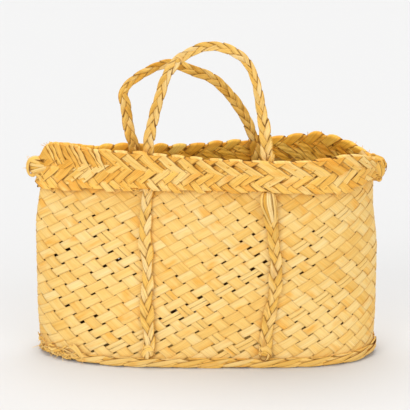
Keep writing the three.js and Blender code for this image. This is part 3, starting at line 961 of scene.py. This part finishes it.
# The plait's first place along the rim, how much shorter than the rim it is, and how much
# shorter its units are at the left end
RIM_PLAIT_START = 2.0
RIM_PLAIT_SHORTER = 5.0
RIM_UNITS_SHORTER = 3.2
# The rim's outermost strips, at distances along it from its left end. Steep narrow ones at
# the left end, then broad ones that fall to the right from the top edge, broad ones that rise
# between them, and narrow ones that rise and fall in the rim's lower half.
STEEP_STARTS = [5, 9, 13.5, 18, 23, 28, 33.5, 39, 45, 51, 57.5]
FALLING_STARTS = [
    66, 82, 100.5, 121, 140, 159, 179, 199, 222.5, 242.5, 262.5, 282.5, 303, 320, 335, 348, 359, 369,
]
RISING_FROM_FALLING = 15.5
NARROWER_FROM = 330
RISING_LOW_SPACING = 12.0
FALLING_LOW_SPACING = 10.2
# Broad strips across the left end: place, level, run, half width, half length, tint
LEFT_END_STRIPS = [
    (14, 0.3, 1.6, 6, 0.24, 0.0), (27, 0.12, 1.5, 5.5, 0.22, 0.05), (43, 0.06, 1.6, 5, 0.2, 0.8),
    (60, 0.08, 1.5, 6, 0.2, 0.9), (74, 0.04, 1.4, 5, 0.2, 0.6),
]
# Forms of these strips. Depths are their heights out of the rim at levels from -1 at its foot
# to 1 at its top. Tints have a middle and a spread. Half widths and runs are drawn from
# ranges, and so are the lobes of those that come over the top edge from the inner face, and
# the levels where they start there.
RIM_STRIPS = {
    "steep": {
        "depths": ([-0.5, -0.3, -0.1, 0.2, 0.8, 1.1], [0.2, 0.6, 1.4, 1.7, 1.5, 1.0]),
        "half": (2.6, 4.4), "run": (0.3, 0.7), "tilt": 0.7, "tint": (0.5, 0.25),
        "lobe": (0.2, 1.2), "inner_level": (0.1, 0.4),
    },
    "falling": {
        "depths": ([-0.25, -0.08, 0.1, 0.3, 0.6, 0.85, 1.1], [0.2, 0.5, 1.5, 1.9, 1.7, 1.2, 0.9]),
        "half": (7.0, 8.6), "run": (1.1346, 1.3054), "tilt": 0.45, "tint": (0.62, 0.28),
        "lobe": (0.3, 1.6), "inner_level": (0.2, 0.4),
    },
    "rising": {
        "depths": ([0.1, 0.3, 0.55, 0.8, 1.1], [0.1, 0.3, 0.7, 1.3, 1.2]),
        # their deep tint is painted shade, as they lie back between the broad falling strips
        "tilt": 0.6, "tint": (0.1, 0.1),
    },
    "inner": {
        "depths": ([-0.3, 0.0, 0.3, 0.55, 0.8], [0.9, 1.8, 2.2, 1.7, 0.7]),
        "half": (5.5, 7.0), "tilt": 0.5, "tint": (0.5, 0.25),
    },
    "rising_low": {
        "depths": ([-0.85, -0.68, -0.5, -0.2, 0.0, 0.14, 0.3], [0.2, 0.6, 1.4, 1.6, 1.3, 0.5, 0.2]),
        "half": (5.2, 7.0), "run": (1.0, 1.3), "tilt": 0.35, "tint": (0.5, 0.24),
    },
    "falling_low": {
        "depths": ([-1.2, -1.0, -0.8, -0.62, -0.48, -0.3], [0.2, 0.9, 1.4, 1.2, 0.5, 0.2]),
        "half": (4.4, 6.0), "run": (0.85, 1.25), "tilt": 0.3, "tint": (0.42, 0.3),
    },
    "left_end": {
        "depths": ([-0.4, -0.1, 0.1, 0.3, 0.5], [0.6, 1.7, 2.1, 1.9, 0.8]),
        "tilt": 0.5,
    },
}
OUTER_STANDOFF = 1.1
RIM_LOBE_SIZES = {"front": 0.9, "rear": 1.9}
CRUMPLE = 0.3
# Over the top edge: heights past it, distances out, and how far a strip still has to run
TOP_FOLD = ([-0.6, 0.5, 0.9, 0.6], [-2.6, -1.7, -0.2, 1.1], [1.2, 0.6, 0.2, 0.0])
# Fibres standing off the rim: from and to along it, level, and how many
RIM_FIBRES = {
    "front": [(6, 70, 0.98, 22), (10, 70, -0.1, 8), (0, 360, -1.0, 26)],
    "rear": [(6, 60, 0.98, 6), (270, 350, 1.0, 12)],
}
RIM_FIBRE_OUT = 2.4


def rim_route(side):
    lengths, turns = side_girth(side, RIM_GIRTH_HEIGHT)

    def route(length, across, out):
        turn = np.interp(length, lengths, turns)
        top, foot = rim_top(turn), rim_foot(turn)
        height = (top + foot) / 2 + across / RIM_REACH * (top - foot) / 2
        low = smooth_step(-0.4 * RIM_REACH, -RIM_REACH, across)
        return off_wall(turn, height, (out + RIM_STANDOFF + RIM_FOOT_STANDOFF * low)[..., None])

    return route, lengths[-1]


def rim_strands(side):
    route, length = rim_route(side)
    total = length - RIM_PLAIT_SHORTER

    def pitch_at(place):
        pitch = mix(*RIM_UNITS, smooth_step(40, total - 20, place))
        return pitch - RIM_UNITS_SHORTER * smooth_step(45, 15, place)

    def shifted(place, across, out):
        return route(place + RIM_PLAIT_START, across, out)

    return whole_plait(shifted, total, RIM_FORM, pitch_at)


def outer_strip(route, total, kind, start, slant, run, span, half, tint=None, lobe_size=1.0, face=1):
    """One strip on the rim's outer face (face 1) or inner face (face -1). From its start at the
    top edge's level it runs to the right as it falls (slant 1) or rises (slant -1), by the run
    for each millimetre of level, and it shows over a span of levels."""
    form = RIM_STRIPS[kind]
    if tint is None:
        tint = drawn_tint(*form["tint"])
    levels = np.linspace(*span, 15)[:, None]
    below = (1 - levels) * RIM_REACH
    across = levels * RIM_REACH
    shares = np.linspace(-1, 1, 7)[None, :]
    tilted = form["tilt"] * shares
    wander = 0.35 * np.sin(0.5 * across + start)
    place = start + slant * below * run + wander + half * shares
    leaf_levels = levels - slant * half * shares / (2 * run * RIM_REACH)
    # dry leaf is crumpled a little
    crumple = np.sin(0.75 * across + 2.4 * shares + 1.7 * start)
    crumple = crumple + 0.6 * np.sin(1.6 * across - 3.1 * shares + 3.4 * start)
    out = np.interp(leaf_levels, *form["depths"]) + tilted + OUTER_STANDOFF
    out = face * (out + CRUMPLE * crumple)
    across = np.broadcast_to(across, place.shape)
    if "lobe" in form:
        lobe = lobe_size * chance.uniform(*form["lobe"]) * (1 - shares ** 2)
        inner_level = chance.uniform(*form["inner_level"])
        inner_levels = np.linspace(inner_level, 0.93, 9)[:, None]
        tucked = smooth_step(inner_level, inner_level + 0.35, inner_levels)
        inner_place = start - slant * (1 - inner_levels) * RIM_REACH * run
        inner_across = inner_levels * RIM_REACH + lobe * smooth_step(0.6, 0.93, inner_levels)
        rises, outs, to_run = np.array(TOP_FOLD)[..., None]
        across = across + lobe * smooth_step(0.55, 0.95, levels)
        across = np.vstack([inner_across, RIM_REACH + rises + lobe, across])
        out = np.vstack([tilted - 1.5 - 1.4 * tucked, tilted + outs, out])
        place = np.vstack([inner_place + half * shares, start - to_run * run + half * shares, place])
    points = route(np.clip(place, 0, total), across, out)
    lengths = lengths_along(points[:, 3])
    return sheet_of_leaf(points, lengths[:, None], shares * half * 0.7, tint, np.abs(shares))


def outer_strips(side):
    route, total = rim_route(side)
    leaves = []

    def add(*strip, **options):
        leaves.append(outer_strip(route, total, *strip, **options))

    def drawn(kind, measure):
        return chance.uniform(*RIM_STRIPS[kind][measure])

    for start in FALLING_STARTS:
        if start > total - 6:
            continue
        run = drawn("falling", "run")
        half = drawn("falling", "half") * (1 if start < NARROWER_FROM else 0.8)
        place = start + chance.uniform(-0.4, 0.4)
        add("falling", place, 1, run, (0.98, -0.2), half, lobe_size=RIM_LOBE_SIZES[side])
        add("rising", place + RISING_FROM_FALLING, -1, 1.15, (0.95, 0.15), 8.5)
        inner_place = place - chance.uniform(4, 9)
        span = (0.72, chance.uniform(-0.2, 0.1))
        add("inner", inner_place, 1, run, span, drawn("inner", "half"), face=-1)
    for start in STEEP_STARTS:
        run = drawn("steep", "run")
        place = start + chance.uniform(-1, 1)
        span = (0.98, chance.uniform(-0.1, 0.25))
        add("steep", place, 1, run, span, drawn("steep", "half"))
    for place, level, run, half, length, tint in LEFT_END_STRIPS:
        start = place + RIM_REACH * (1 - level) * run
        add("left_end", start, -1, run, (level + length, level - length), half, tint)
    for face in (1, -1):
        place = 8.0
        while place < total - 6:
            half = drawn("rising_low", "half")
            run = drawn("rising_low", "run")
            # the strip's own line, carried on up to the top edge's level
            start = place + RIM_REACH * run
            add("rising_low", start, -face, run, (0.22, -0.8), half, face=face)
            place += RISING_LOW_SPACING * chance.uniform(0.8, 1.2)
        place = 5.0
        while place < total - 5:
            half = drawn("falling_low", "half")
            run = drawn("falling_low", "run")
            start = place - 1.75 * RIM_REACH * run
            span = (-0.42, chance.uniform(-1.2, -0.92))
            add("falling_low", start, face, run, span, half, face=face)
            place += FALLING_LOW_SPACING * chance.uniform(0.8, 1.2)
    places = []
    ways = []
    for first, last, level, count in RIM_FIBRES[side]:
        for _ in range(count):
            at = np.array([[chance.uniform(first, last)], [level * RIM_REACH], [RIM_FIBRE_OUT]])
            places.append(route(*at)[0])
            sideways = chance.gauss(0, 0.8)
            ways.append(np.array([sideways, -0.5, 0.8 * np.sign(level) + chance.gauss(0, 0.3)]))
    return leaves + loose_fibres(places, ways, (2.5, 6), 0.4)


rim_plaits = {}
for side in SIDES:
    name = f"rim_plait_{side}_leaves"
    strands = rim_strands(side) + outer_strips(side)
    rim_plaits[side] = join_leaves(strands, name, rim_leaf, RIM_LEAF_THICKNESS, facing=True)


# The handles, their tails and the plait along the bottom edge

PLAIT_LEAF_THICKNESS = 0.8
HANDLE_FORMS = {"front": HANDLE_FORM, "rear": REAR_HANDLE_SHADED_FORM}
TAIL_FORMS = {"front": TAIL_FORM, "rear": REAR_TAIL_SHADED_FORM}
# Bumps where a handle has been bent sharply: distance to the right of the left bending point,
# height above it, half sizes, strips
HANDLE_BUMPS = {
    "front": [(31.5, 88.5, (4.0, 3.6, 4.4), 6)],
    "rear": [(-8.0, 54.0, (3.0, 3.0, 3.8), 9)],
}
# Where each tail's middle wanders to, as heights and distances to the right
TAIL_SWAY = {
    ("front", 0): (
        [12, 28, 44, 60, 76, 100, 114, 130, 147, 162, 180],
        [0.4, 2.8, 1.1, -0.6, 1.1, 1.1, -1.5, -1.5, -0.6, 1.1, 0],
    ),
    ("front", 1): (
        [12, 28, 44, 60, 76, 105, 128, 150, 165, 203],
        [-6.5, -5.6, -3.7, -1, 2.8, 3.7, 1, -1.5, -2.8, -4.6],
    ),
    ("rear", 0): ([12, 60, 120, 165], [2, -1, 1, 0]),
    ("rear", 1): ([12, 60, 120, 165, 203], [-3, 1, -1, -2, -7]),
}
# A tail's width wavers: by how much, how fast, and its start
TAIL_WAVES = [(0.1, 21, 1), (0.07, 37, 2)]
# The wound leaf at a tail's foot: half sizes, strips, their half widths, and its height
TAIL_END_SIZES = (5.4, 2.6, 6.2)
TAIL_END_TURNS = 9
TAIL_END_HALVES = (1.6, 2.8)
TAIL_END_RISE = 3.5
TAIL_END_OUT = 1.2
# The front right tail's loop: distances down the tail, shares of its half width, shares of
# its drift to the right, and shares of its lift off the tail
LOOP_STRIPS = 9
LOOP_HALF = 6.2
LOOP_DRIFT = 1.5
LOOP_LENGTHS = [34.0, 37.5, 45.0, 55.0, 64.0]
LOOP_WIDTHS = [0.35, 0.9, 1.0, 0.6, 0.1]
LOOP_DRIFTS = [0.0, 0.1, 0.4, 0.8, 1.0]
LOOP_LIFTS = [0.2, 1.1, 1.3, 1.0, 0.2]
LOOP_CROWN = [0, 1, 1.5, 1, 0]
LOOP_LIFT = (1.8, 3.4)
LOOP_STRIP_HALF = (0.7, 1.3)
LOOP_TINT = (0.7, 0.25)
# The front's bottom plait is worn away at its left end and starts further on
BASE_START = {"front": 62.0, "rear": 5.0}
BASE_SHORTER = 5.0
BASE_HEIGHT = 5.0
BASE_GIRTH_HEIGHT = 6.0
BASE_STANDOFF = 1.9
BASE_LEAF_THICKNESS = 0.5
BASE_STRIP_HALF = 2.7
BASE_STRIP_LENGTHS = (28, 36)
BASE_STRIP_SPACING = (21, 26)
BASE_STRIP_LEVELS = (-3.0, 3.6)
BASE_STRIP_OUT = 0.9
BASE_STRIP_BELLY = 1.5
BASE_STRIP_CUP = 0.4
BASE_STRIP_TILT = 1.1
BASE_STRIP_TINT = (0.72, 0.15)
# Split strips over the plait's worn end, in turns from the left end
CORNER_STRIPS = 46
CORNER_FIBRES = 30
CORNER_TURNS = (0.16, 0.72)
CORNER_TURN_PER_MM = 0.0085
CORNER_LENGTH = (-10, 22)
CORNER_HEIGHT = (4, 13)
CORNER_LOWER = 3
CORNER_RISE = (-3.5, 5)
CORNER_WAVE = (-1.2, 1.2)
CORNER_KEPT_HEIGHTS = (1.8, 16)
CORNER_OUT = (0.8, 3.4)
CORNER_HALF = (0.5, 1.7)
CORNER_TINT = (0.7, 0.2)
# Strips folded up and hanging down at the plait's worn end: rise, run and half width
CORNER_FOLD_TURN = 0.76
CORNER_FOLD_HEIGHT = 7.0
CORNER_FOLDS = [(9.0, -8.0, 2.4), (8.0, -12.0, 1.8), (-2.5, 14.0, 2.6)]


def line_route(frame_at, total, size=None):
    """Route of a plait along a line: frame_at gives middles, sideways and outward directions."""
    steps = np.linspace(0, total, 900)
    tables = frame_at(steps)

    def route(length, across, out):
        middle, sideways, outward = (points_at(length, steps, table) for table in tables)
        scale = 1.0 if size is None else size(length / total)
        aside = unit(sideways) * (across * scale)[..., None]
        return middle + aside + unit(outward) * (out * scale)[..., None]

    return route


def turn_at_x(x, height, side):
    turn = np.arccos(np.clip(x / reach(height, np.sign(x)), -1, 1))
    return 2 * math.pi - turn if side == "front" else turn


def hinge_point(side, end):
    turn = turn_at_x(HANDLE_ENDS[side][end], WALL_HEIGHT, side)
    out = wall_normal(turn, WALL_HEIGHT)
    out[2] = 0
    point = wall_point(turn, WALL_HEIGHT) + unit(out) * INSIDE_STANDOFF
    point[2] = HINGE_HEIGHT
    return point


def handle_leaves(side):
    start = hinge_point(side, 0)
    along = unit(hinge_point(side, 1) - start)
    up = np.array([0.0, 0.0, 1.0])
    out = np.cross(along, up)
    dense, lengths = smooth_curve([start + along * a + up * b for a, b in HANDLE_LINES[side]])
    tangents = unit(np.gradient(dense, axis=0))

    def frame_at(length):
        middle = points_at(length, lengths, dense)
        tangent = unit(points_at(length, lengths, tangents))
        outs = np.broadcast_to(out, middle.shape)
        return middle, unit(np.cross(outs, tangent)), outs

    def size(part):
        return np.interp(part, *HANDLE_WIDTHS[side])

    route = line_route(frame_at, lengths[-1], size)
    leaves = whole_plait(route, lengths[-1], HANDLE_FORMS[side])
    for a, b, sizes, turns in HANDLE_BUMPS[side]:
        spot = start + along * a + up * b - out
        leaves += wound_leaves(spot, np.array(sizes), turns, (0.8, 1.8))
    return leaves


def tail_leaves(side, end):
    x = HANDLE_ENDS[side][end]
    total = TAIL_TOP - TAIL_FOOT

    def middle_at(height):
        level = np.minimum(height, WALL_HEIGHT)
        turn = turn_at_x(x + np.interp(height, *TAIL_SWAY[(side, end)]), level, side)
        threaded = smooth_step(*TAIL_THREADED, height)
        point = wall_point(turn, level)
        point[..., 2] = height
        normal = wall_normal(turn, level)
        return point + normal * mix(INSIDE_STANDOFF, OUTSIDE_STANDOFF, threaded)[..., None], normal

    def frame_at(length):
        height = TAIL_TOP - length
        middle, normal = middle_at(height)
        rise = unit(middle_at(height + 1)[0] - middle_at(height - 1)[0])
        sideways = unit(np.cross(np.array([0.0, 0.0, 1.0]), normal))
        return middle, sideways, unit(np.cross(sideways, rise))

    widest = chance.uniform(0, 6)

    def size(part):
        return 1 + sum(by * np.sin(part * rate + start * widest) for by, rate, start in TAIL_WAVES)

    route = line_route(frame_at, total, size)
    last = route(*np.array([[total - TAIL_END_RISE], [0.0], [TAIL_END_OUT]]))[0]
    bulb = wound_leaves(last, np.array(TAIL_END_SIZES), TAIL_END_TURNS, TAIL_END_HALVES)
    leaves = whole_plait(route, total - 3, TAIL_FORMS[side]) + bulb
    if (side, end) == ("front", 1):
        leaves += loop_strips(route)
    return leaves


def loop_strips(route):
    """The right tail starts with a loop of split leaf that comes out from under the rim."""
    leaves = []
    for order in range(LOOP_STRIPS):
        share = mix(-1, 1, order / (LOOP_STRIPS - 1))
        lift = chance.uniform(*LOOP_LIFT)
        lengths = np.array(LOOP_LENGTHS)
        lengths[-1] += chance.uniform(-3, 4)
        across = LOOP_HALF * np.array(LOOP_WIDTHS) * share + chance.gauss(0, 0.8)
        across += LOOP_DRIFT * np.array(LOOP_DRIFTS)
        outs = lift * np.array(LOOP_LIFTS) + np.array(LOOP_CROWN) * (1 - share ** 2)
        line = curve_line(route(lengths, across, outs), 24)
        facing = np.broadcast_to([0.25 * share, -1.0, 0.2], line.shape)
        tint = drawn_tint(*LOOP_TINT)
        leaves.append(ribbon(line, facing, chance.uniform(*LOOP_STRIP_HALF), tint))
    return leaves


def base_leaves(side):
    """The plait along the bottom edge, under a row of long strips that rise to the right."""
    lengths, turns = side_girth(side, BASE_GIRTH_HEIGHT)
    total = lengths[-1] - BASE_SHORTER - BASE_START[side]

    def frame_at(length):
        turn = np.interp(length + BASE_START[side], lengths, turns)
        height = np.full_like(turn, BASE_HEIGHT)
        middle = off_wall(turn, height, BASE_STANDOFF)
        return middle, np.broadcast_to([0.0, 0.0, 1.0], middle.shape), wall_normal(turn, height)

    route = line_route(frame_at, total)
    leaves = whole_plait(route, total, BASE_FORM)
    shares = np.linspace(-1, 1, 5)[None, :]
    part = np.linspace(0, 1, 13)[:, None]
    half = BASE_STRIP_HALF * np.sin(math.pi * mix(0.12, 0.93, part)) ** 0.6
    belly = np.sin(math.pi * part) ** 1.5
    level = mix(*BASE_STRIP_LEVELS, part) + half * shares
    out = BASE_STRIP_OUT + BASE_STRIP_BELLY * belly - BASE_STRIP_CUP * shares ** 2
    out = out + BASE_STRIP_TILT * shares * mix(1.0, 0.3, part)
    place = chance.uniform(0, 6)
    while place < total - 30:
        along = chance.uniform(*BASE_STRIP_LENGTHS) * part
        points = route(place + along + 0 * shares, level, out)
        tint = drawn_tint(*BASE_STRIP_TINT)
        leaves.append(sheet_of_leaf(points, along, half * shares, tint, np.abs(shares)))
        place += chance.uniform(*BASE_STRIP_SPACING)
    return leaves


def corner_frays():
    """The worn left corner of the bottom: a bunch of split strips and fibres."""
    leaves = []
    part = np.linspace(0, 1, 7)
    for _ in range(CORNER_STRIPS):
        share = chance.random()
        turn = math.pi + mix(*CORNER_TURNS, share)
        turns = turn + part * chance.uniform(*CORNER_LENGTH) * CORNER_TURN_PER_MM
        height = chance.uniform(*CORNER_HEIGHT) - CORNER_LOWER * share
        heights = height + part * chance.uniform(*CORNER_RISE)
        heights += chance.uniform(*CORNER_WAVE) * np.sin(math.pi * part * chance.uniform(1, 2))
        heights = np.clip(heights, *CORNER_KEPT_HEIGHTS)
        line = off_wall(turns, heights, chance.uniform(*CORNER_OUT))
        half = chance.uniform(*CORNER_HALF) * np.sin(math.pi * mix(0.2, 0.85, part))
        normal = wall_normal(turns, heights) + any_direction() * 0.5
        leaves.append(ribbon(line, normal, half, drawn_tint(*CORNER_TINT)))
    part = np.linspace(0, 1, 9)
    for rise, run, half in CORNER_FOLDS:
        heights = CORNER_FOLD_HEIGHT + rise * part * (1.6 - 0.6 * part)
        turns = math.pi + CORNER_FOLD_TURN + part * run * CORNER_TURN_PER_MM
        line = off_wall(turns, heights, 3.0)
        leaves.append(ribbon(line, wall_normal(turns, heights), half, 0.75))
    places = []
    for _ in range(CORNER_FIBRES):
        turn = math.pi + chance.uniform(0.1, 0.8)
        places.append(wall_point(turn, chance.uniform(4, 10)) + np.array([0, -2.5, 0]))
    ways = []
    for _ in places:
        sideways = chance.gauss(-0.2, 0.8)
        ways.append(np.array([sideways, -0.5, chance.gauss(-0.15, 0.3)]))
    return leaves + loose_fibres(places, ways, (4, 11))


handle_pieces = {}
tail_pieces = {}
base_pieces = {}
for side in SIDES:
    name = f"handle_{side}_leaves"
    handle_pieces[side] = join_leaves(handle_leaves(side), name, plait_leaf, PLAIT_LEAF_THICKNESS)
    name = f"base_plait_{side}_leaves"
    leaves = base_leaves(side)
    if side == "front":
        leaves += corner_frays()
    base_pieces[side] = join_leaves(leaves, name, base_leaf, BASE_LEAF_THICKNESS)
    for end, end_name in enumerate(("left", "right")):
        name = f"tail_{side}_{end_name}_leaves"
        tail = join_leaves(tail_leaves(side, end), name, plait_leaf, PLAIT_LEAF_THICKNESS)
        tail_pieces[(side, end_name)] = tail


# Knots at the ends of the rim

# Middles of the knots, and the leaves that make them: half width, tint, and the places it
# goes through, from the knot's middle
KNOTS = {
    "left": ((-165.2, 0.0, 185.2), [
        (2.4, 0.6, [(4, -3, 8), (-2, -5, 8.8), (-6.4, -5, 6.4), (-8.4, -4, 2), (-8.4, -4, -4),
                    (-6.6, -5, -7.6), (-4, -5.5, -8.2), (-2, -5.5, -6.4)]),
        (1.9, 0.5, [(14, -5, 0), (5, -7.5, 3), (-3, -7, 6), (-7, -3, 6.4), (-6, 4, 5),
                    (4, 6, 3)]),
        (1.7, 0.8, [(14, -5.5, -0.5), (5, -8, 1.5), (-3, -7.5, 3), (-7, -3, 3), (-6, 4, 3),
                    (4, 6, 1)]),
        (1.8, 0.35, [(14, -5, -1), (6, -7.5, 0), (-1, -7.5, -0.5), (-5.5, -4, -1), (-6, 3, -1),
                    (3, 6, -1)]),
        (1.9, 0.7, [(13, -5.5, -1), (6, -8, -1.5), (0, -8, -3), (-5, -5, -5), (-6, 2, -5),
                    (3, 6, -4)]),
        (1.8, 0.55, [(13, -5, -1.5), (7, -7, -3), (1, -7, -6), (-3, -4, -8), (-4, 3, -7),
                    (4, 5, -6)]),
        (0.9, 0.1, [(-6.6, -5, 6.2), (0, -7, 5.4), (7, -7.5, 3.6), (13, -6, 2)]),
        (2.0, 0.6, [(-1, -6, -7), (3, -6.5, -9.5), (5, -6, -15)]),
        (1.6, 0.3, [(5, -7, -4), (8, -7, -9), (8, -6, -14)]),
    ]),
    "right": ((165.2, 0.0, 184.2), [
        (4.3, 0.62, [(-4, -6.5, 7), (-1, -8, 2), (0.5, -7.5, -5), (0, -6, -10),
                    (1.5, -2.5, -12), (2, 2.5, -10)]),
        (2.6, 0.5, [(3.5, -6, 7), (5.8, -6, 1), (5.6, -5, -6), (3, -4, -10)]),
        (2.3, 0.55, [(-8, -4.5, 12), (-1, -5.5, 9.8), (5, -4.5, 7.4), (8.4, -1.5, 4.6),
                    (8, 3, 0), (5, 4, -5)]),
        (1.7, 0.25, [(-5, -2, 12.4), (2, -3, 10.4), (7.4, -1, 7.4), (7, 4, 3), (2, 6, -4)]),
        (2.2, 0.7, [(-15, -6, 10), (-10, -8, 4), (-6, -8.5, 7), (-3, -7, 11)]),
        (2.8, 0.75, [(-16, -5, 16), (-11, -7, 10), (-7, -8, 3)]),
        (1.0, 0.05, [(-7, -3.5, 11), (-5, -4.5, 13.4), (-2, -4, 13), (-1.5, -3, 10.6)]),
        (1.3, 0.4, [(4.6, -8, -10), (2.6, -8.6, -12.4), (0.2, -8, -10.6), (1.6, -7.4, -8.6),
                    (4, -7.6, -9)]),
        (1.1, 0.2, [(6.6, -5, 8.4), (8.6, -4, 4), (7.4, -6, 1), (5, -7, 3), (4, -7, 6)]),
        (0.9, 0.1, [(-4, -7.6, 4), (-1, -8.6, 7.4), (1.6, -8.4, 8.4), (3.4, -7, 7)]),
        (2.4, 0.5, [(-6, 5, 10), (0, 7, 4), (3, 6, -3), (1, 3, -9)]),
        (2.4, 0.6, [(-6, 6, 4), (0, 7.5, -1), (2, 6, -7), (0, 1, -11)]),
    ]),
}
KNOT_LEAF_THICKNESS = 0.5
KNOT_FACING_FROM = [0, 4.0, 0]
KNOT_CORE_SIZES = (9.0, 5.4, 7.8)
KNOT_CORE_TURNS = 26
KNOT_CORE_HALVES = (1.2, 2.4)
KNOT_LOOPS = 8
KNOT_LOOP_SIZE = 1.25
KNOT_LOOP_HALVES = (0.5, 1.1)
KNOT_FIBRES = 12
KNOT_FIBRE_LENGTHS = (3, 7)
KNOT_FIBRE_PLACES = [8.0, 6.0, 8.0]


def knot_leaves(name):
    """Leaves folded over one another at the end of the rim, with fibres standing off them."""
    middle, strips = KNOTS[name]
    middle = np.array(middle)
    core = np.array(KNOT_CORE_SIZES)
    leaves = wound_leaves(middle, core, KNOT_CORE_TURNS, KNOT_CORE_HALVES)
    leaves += wound_leaves(middle, core * KNOT_LOOP_SIZE, KNOT_LOOPS, KNOT_LOOP_HALVES)
    for half, tint, places in strips:
        facing_from = middle + np.array(KNOT_FACING_FROM)
        leaves.append(bent_ribbon(middle + np.array(places), facing_from, half, tint))
    directions = [any_direction() * np.array([1, 0.6, 1]) for _ in range(KNOT_FIBRES)]
    places = [middle + way * np.array(KNOT_FIBRE_PLACES) for way in directions]
    return leaves + loose_fibres(places, directions, KNOT_FIBRE_LENGTHS, 0.3)


knot_pieces = {}
for end_name in ("left", "right"):
    knot_pieces[end_name] = join_leaves(
        knot_leaves(end_name), f"end_knot_{end_name}_leaves", plait_leaf, KNOT_LEAF_THICKNESS,
    )


# What each piece moves with and stands for

def strands_of(name, count=3):
    return [f"{name}_strand_{i + 1}" for i in range(count)]


for piece in (rising_leaves, falling_leaves, woven_floor):
    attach(piece, "basket")
    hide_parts("woven_body")
for side in SIDES:
    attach(rim_plaits[side], "basket")
    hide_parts(*strands_of(f"rim_plait_{side}"))
    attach(base_pieces[side], "basket")
    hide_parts(*strands_of(f"base_plait_{side}"))
    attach(handle_pieces[side], f"handle_{side}")
    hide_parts(*strands_of(f"handle_{side}"))
    for end_name in ("left", "right"):
        tail = tail_pieces[(side, end_name)]
        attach(tail, "basket")
        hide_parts(*strands_of(f"tail_{side}_{end_name}"))
for end_name, knot in knot_pieces.items():
    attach(knot, "basket")
    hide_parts(*strands_of(f"end_knot_{end_name}", 2))


# Floor, light and camera

PAPER = (0.72, 0.722, 0.728)
ROOM_COLOR = (0.98, 0.99, 1.0)
ROOM_STRENGTH = 0.57
SUN_COLOR = (1.0, 0.985, 0.96)
# Suns: strength, spread in degrees, where the light goes
SUNS = {
    "left_window": (0.84, 35, (0.5, 0.78, -0.38)),
    "right_window": (0.66, 50, (-0.5, 0.78, -0.38)),
    "top_light": (1.75, 48, (0.03, -0.24, -0.97)),
}
FOCAL_LENGTH = 137.9
SENSOR_WIDTH = 36.0
EYE = Vector((-0.0045, -1.5, 0.49))
AIM = Vector((-0.0045, 0.0, 0.146))

paper = bpy.data.materials.new("pale_paper")
paper.use_nodes = True
paper_shader = paper.node_tree.nodes["Principled BSDF"]
paper_shader.inputs["Base Color"].default_value = (*PAPER, 1)
paper_shader.inputs["Roughness"].default_value = 0.9
paper_shader.inputs["Specular IOR Level"].default_value = 0.1

clear_selection()
bpy.ops.mesh.primitive_plane_add(size=40, location=(0, 0, -0.0002))
ground = bpy.context.object
ground.name = "ground"
ground.data.materials.append(paper)

scene = bpy.context.scene
scene.view_settings.view_transform = "Standard"
world = bpy.data.worlds.new("soft_room")
world.use_nodes = True
world.node_tree.nodes["Background"].inputs["Color"].default_value = (*ROOM_COLOR, 1)
world.node_tree.nodes["Background"].inputs["Strength"].default_value = ROOM_STRENGTH
scene.world = world

for name, (energy, spread, direction) in SUNS.items():
    bpy.ops.object.light_add(type="SUN", location=(-1, -1, 2))
    sun = bpy.context.object
    sun.name = name
    sun.data.energy = energy
    sun.data.angle = math.radians(spread)
    sun.data.color = SUN_COLOR
    sun.rotation_euler = Vector(direction).to_track_quat("-Z", "Y").to_euler()

bpy.ops.object.camera_add(location=EYE)
camera = bpy.context.object
camera.name = "camera"
camera.data.lens = FOCAL_LENGTH
camera.data.sensor_width = SENSOR_WIDTH
camera.data.clip_end = 100
camera.rotation_euler = (AIM - EYE).to_track_quat("-Z", "Y").to_euler()
scene.camera = camera
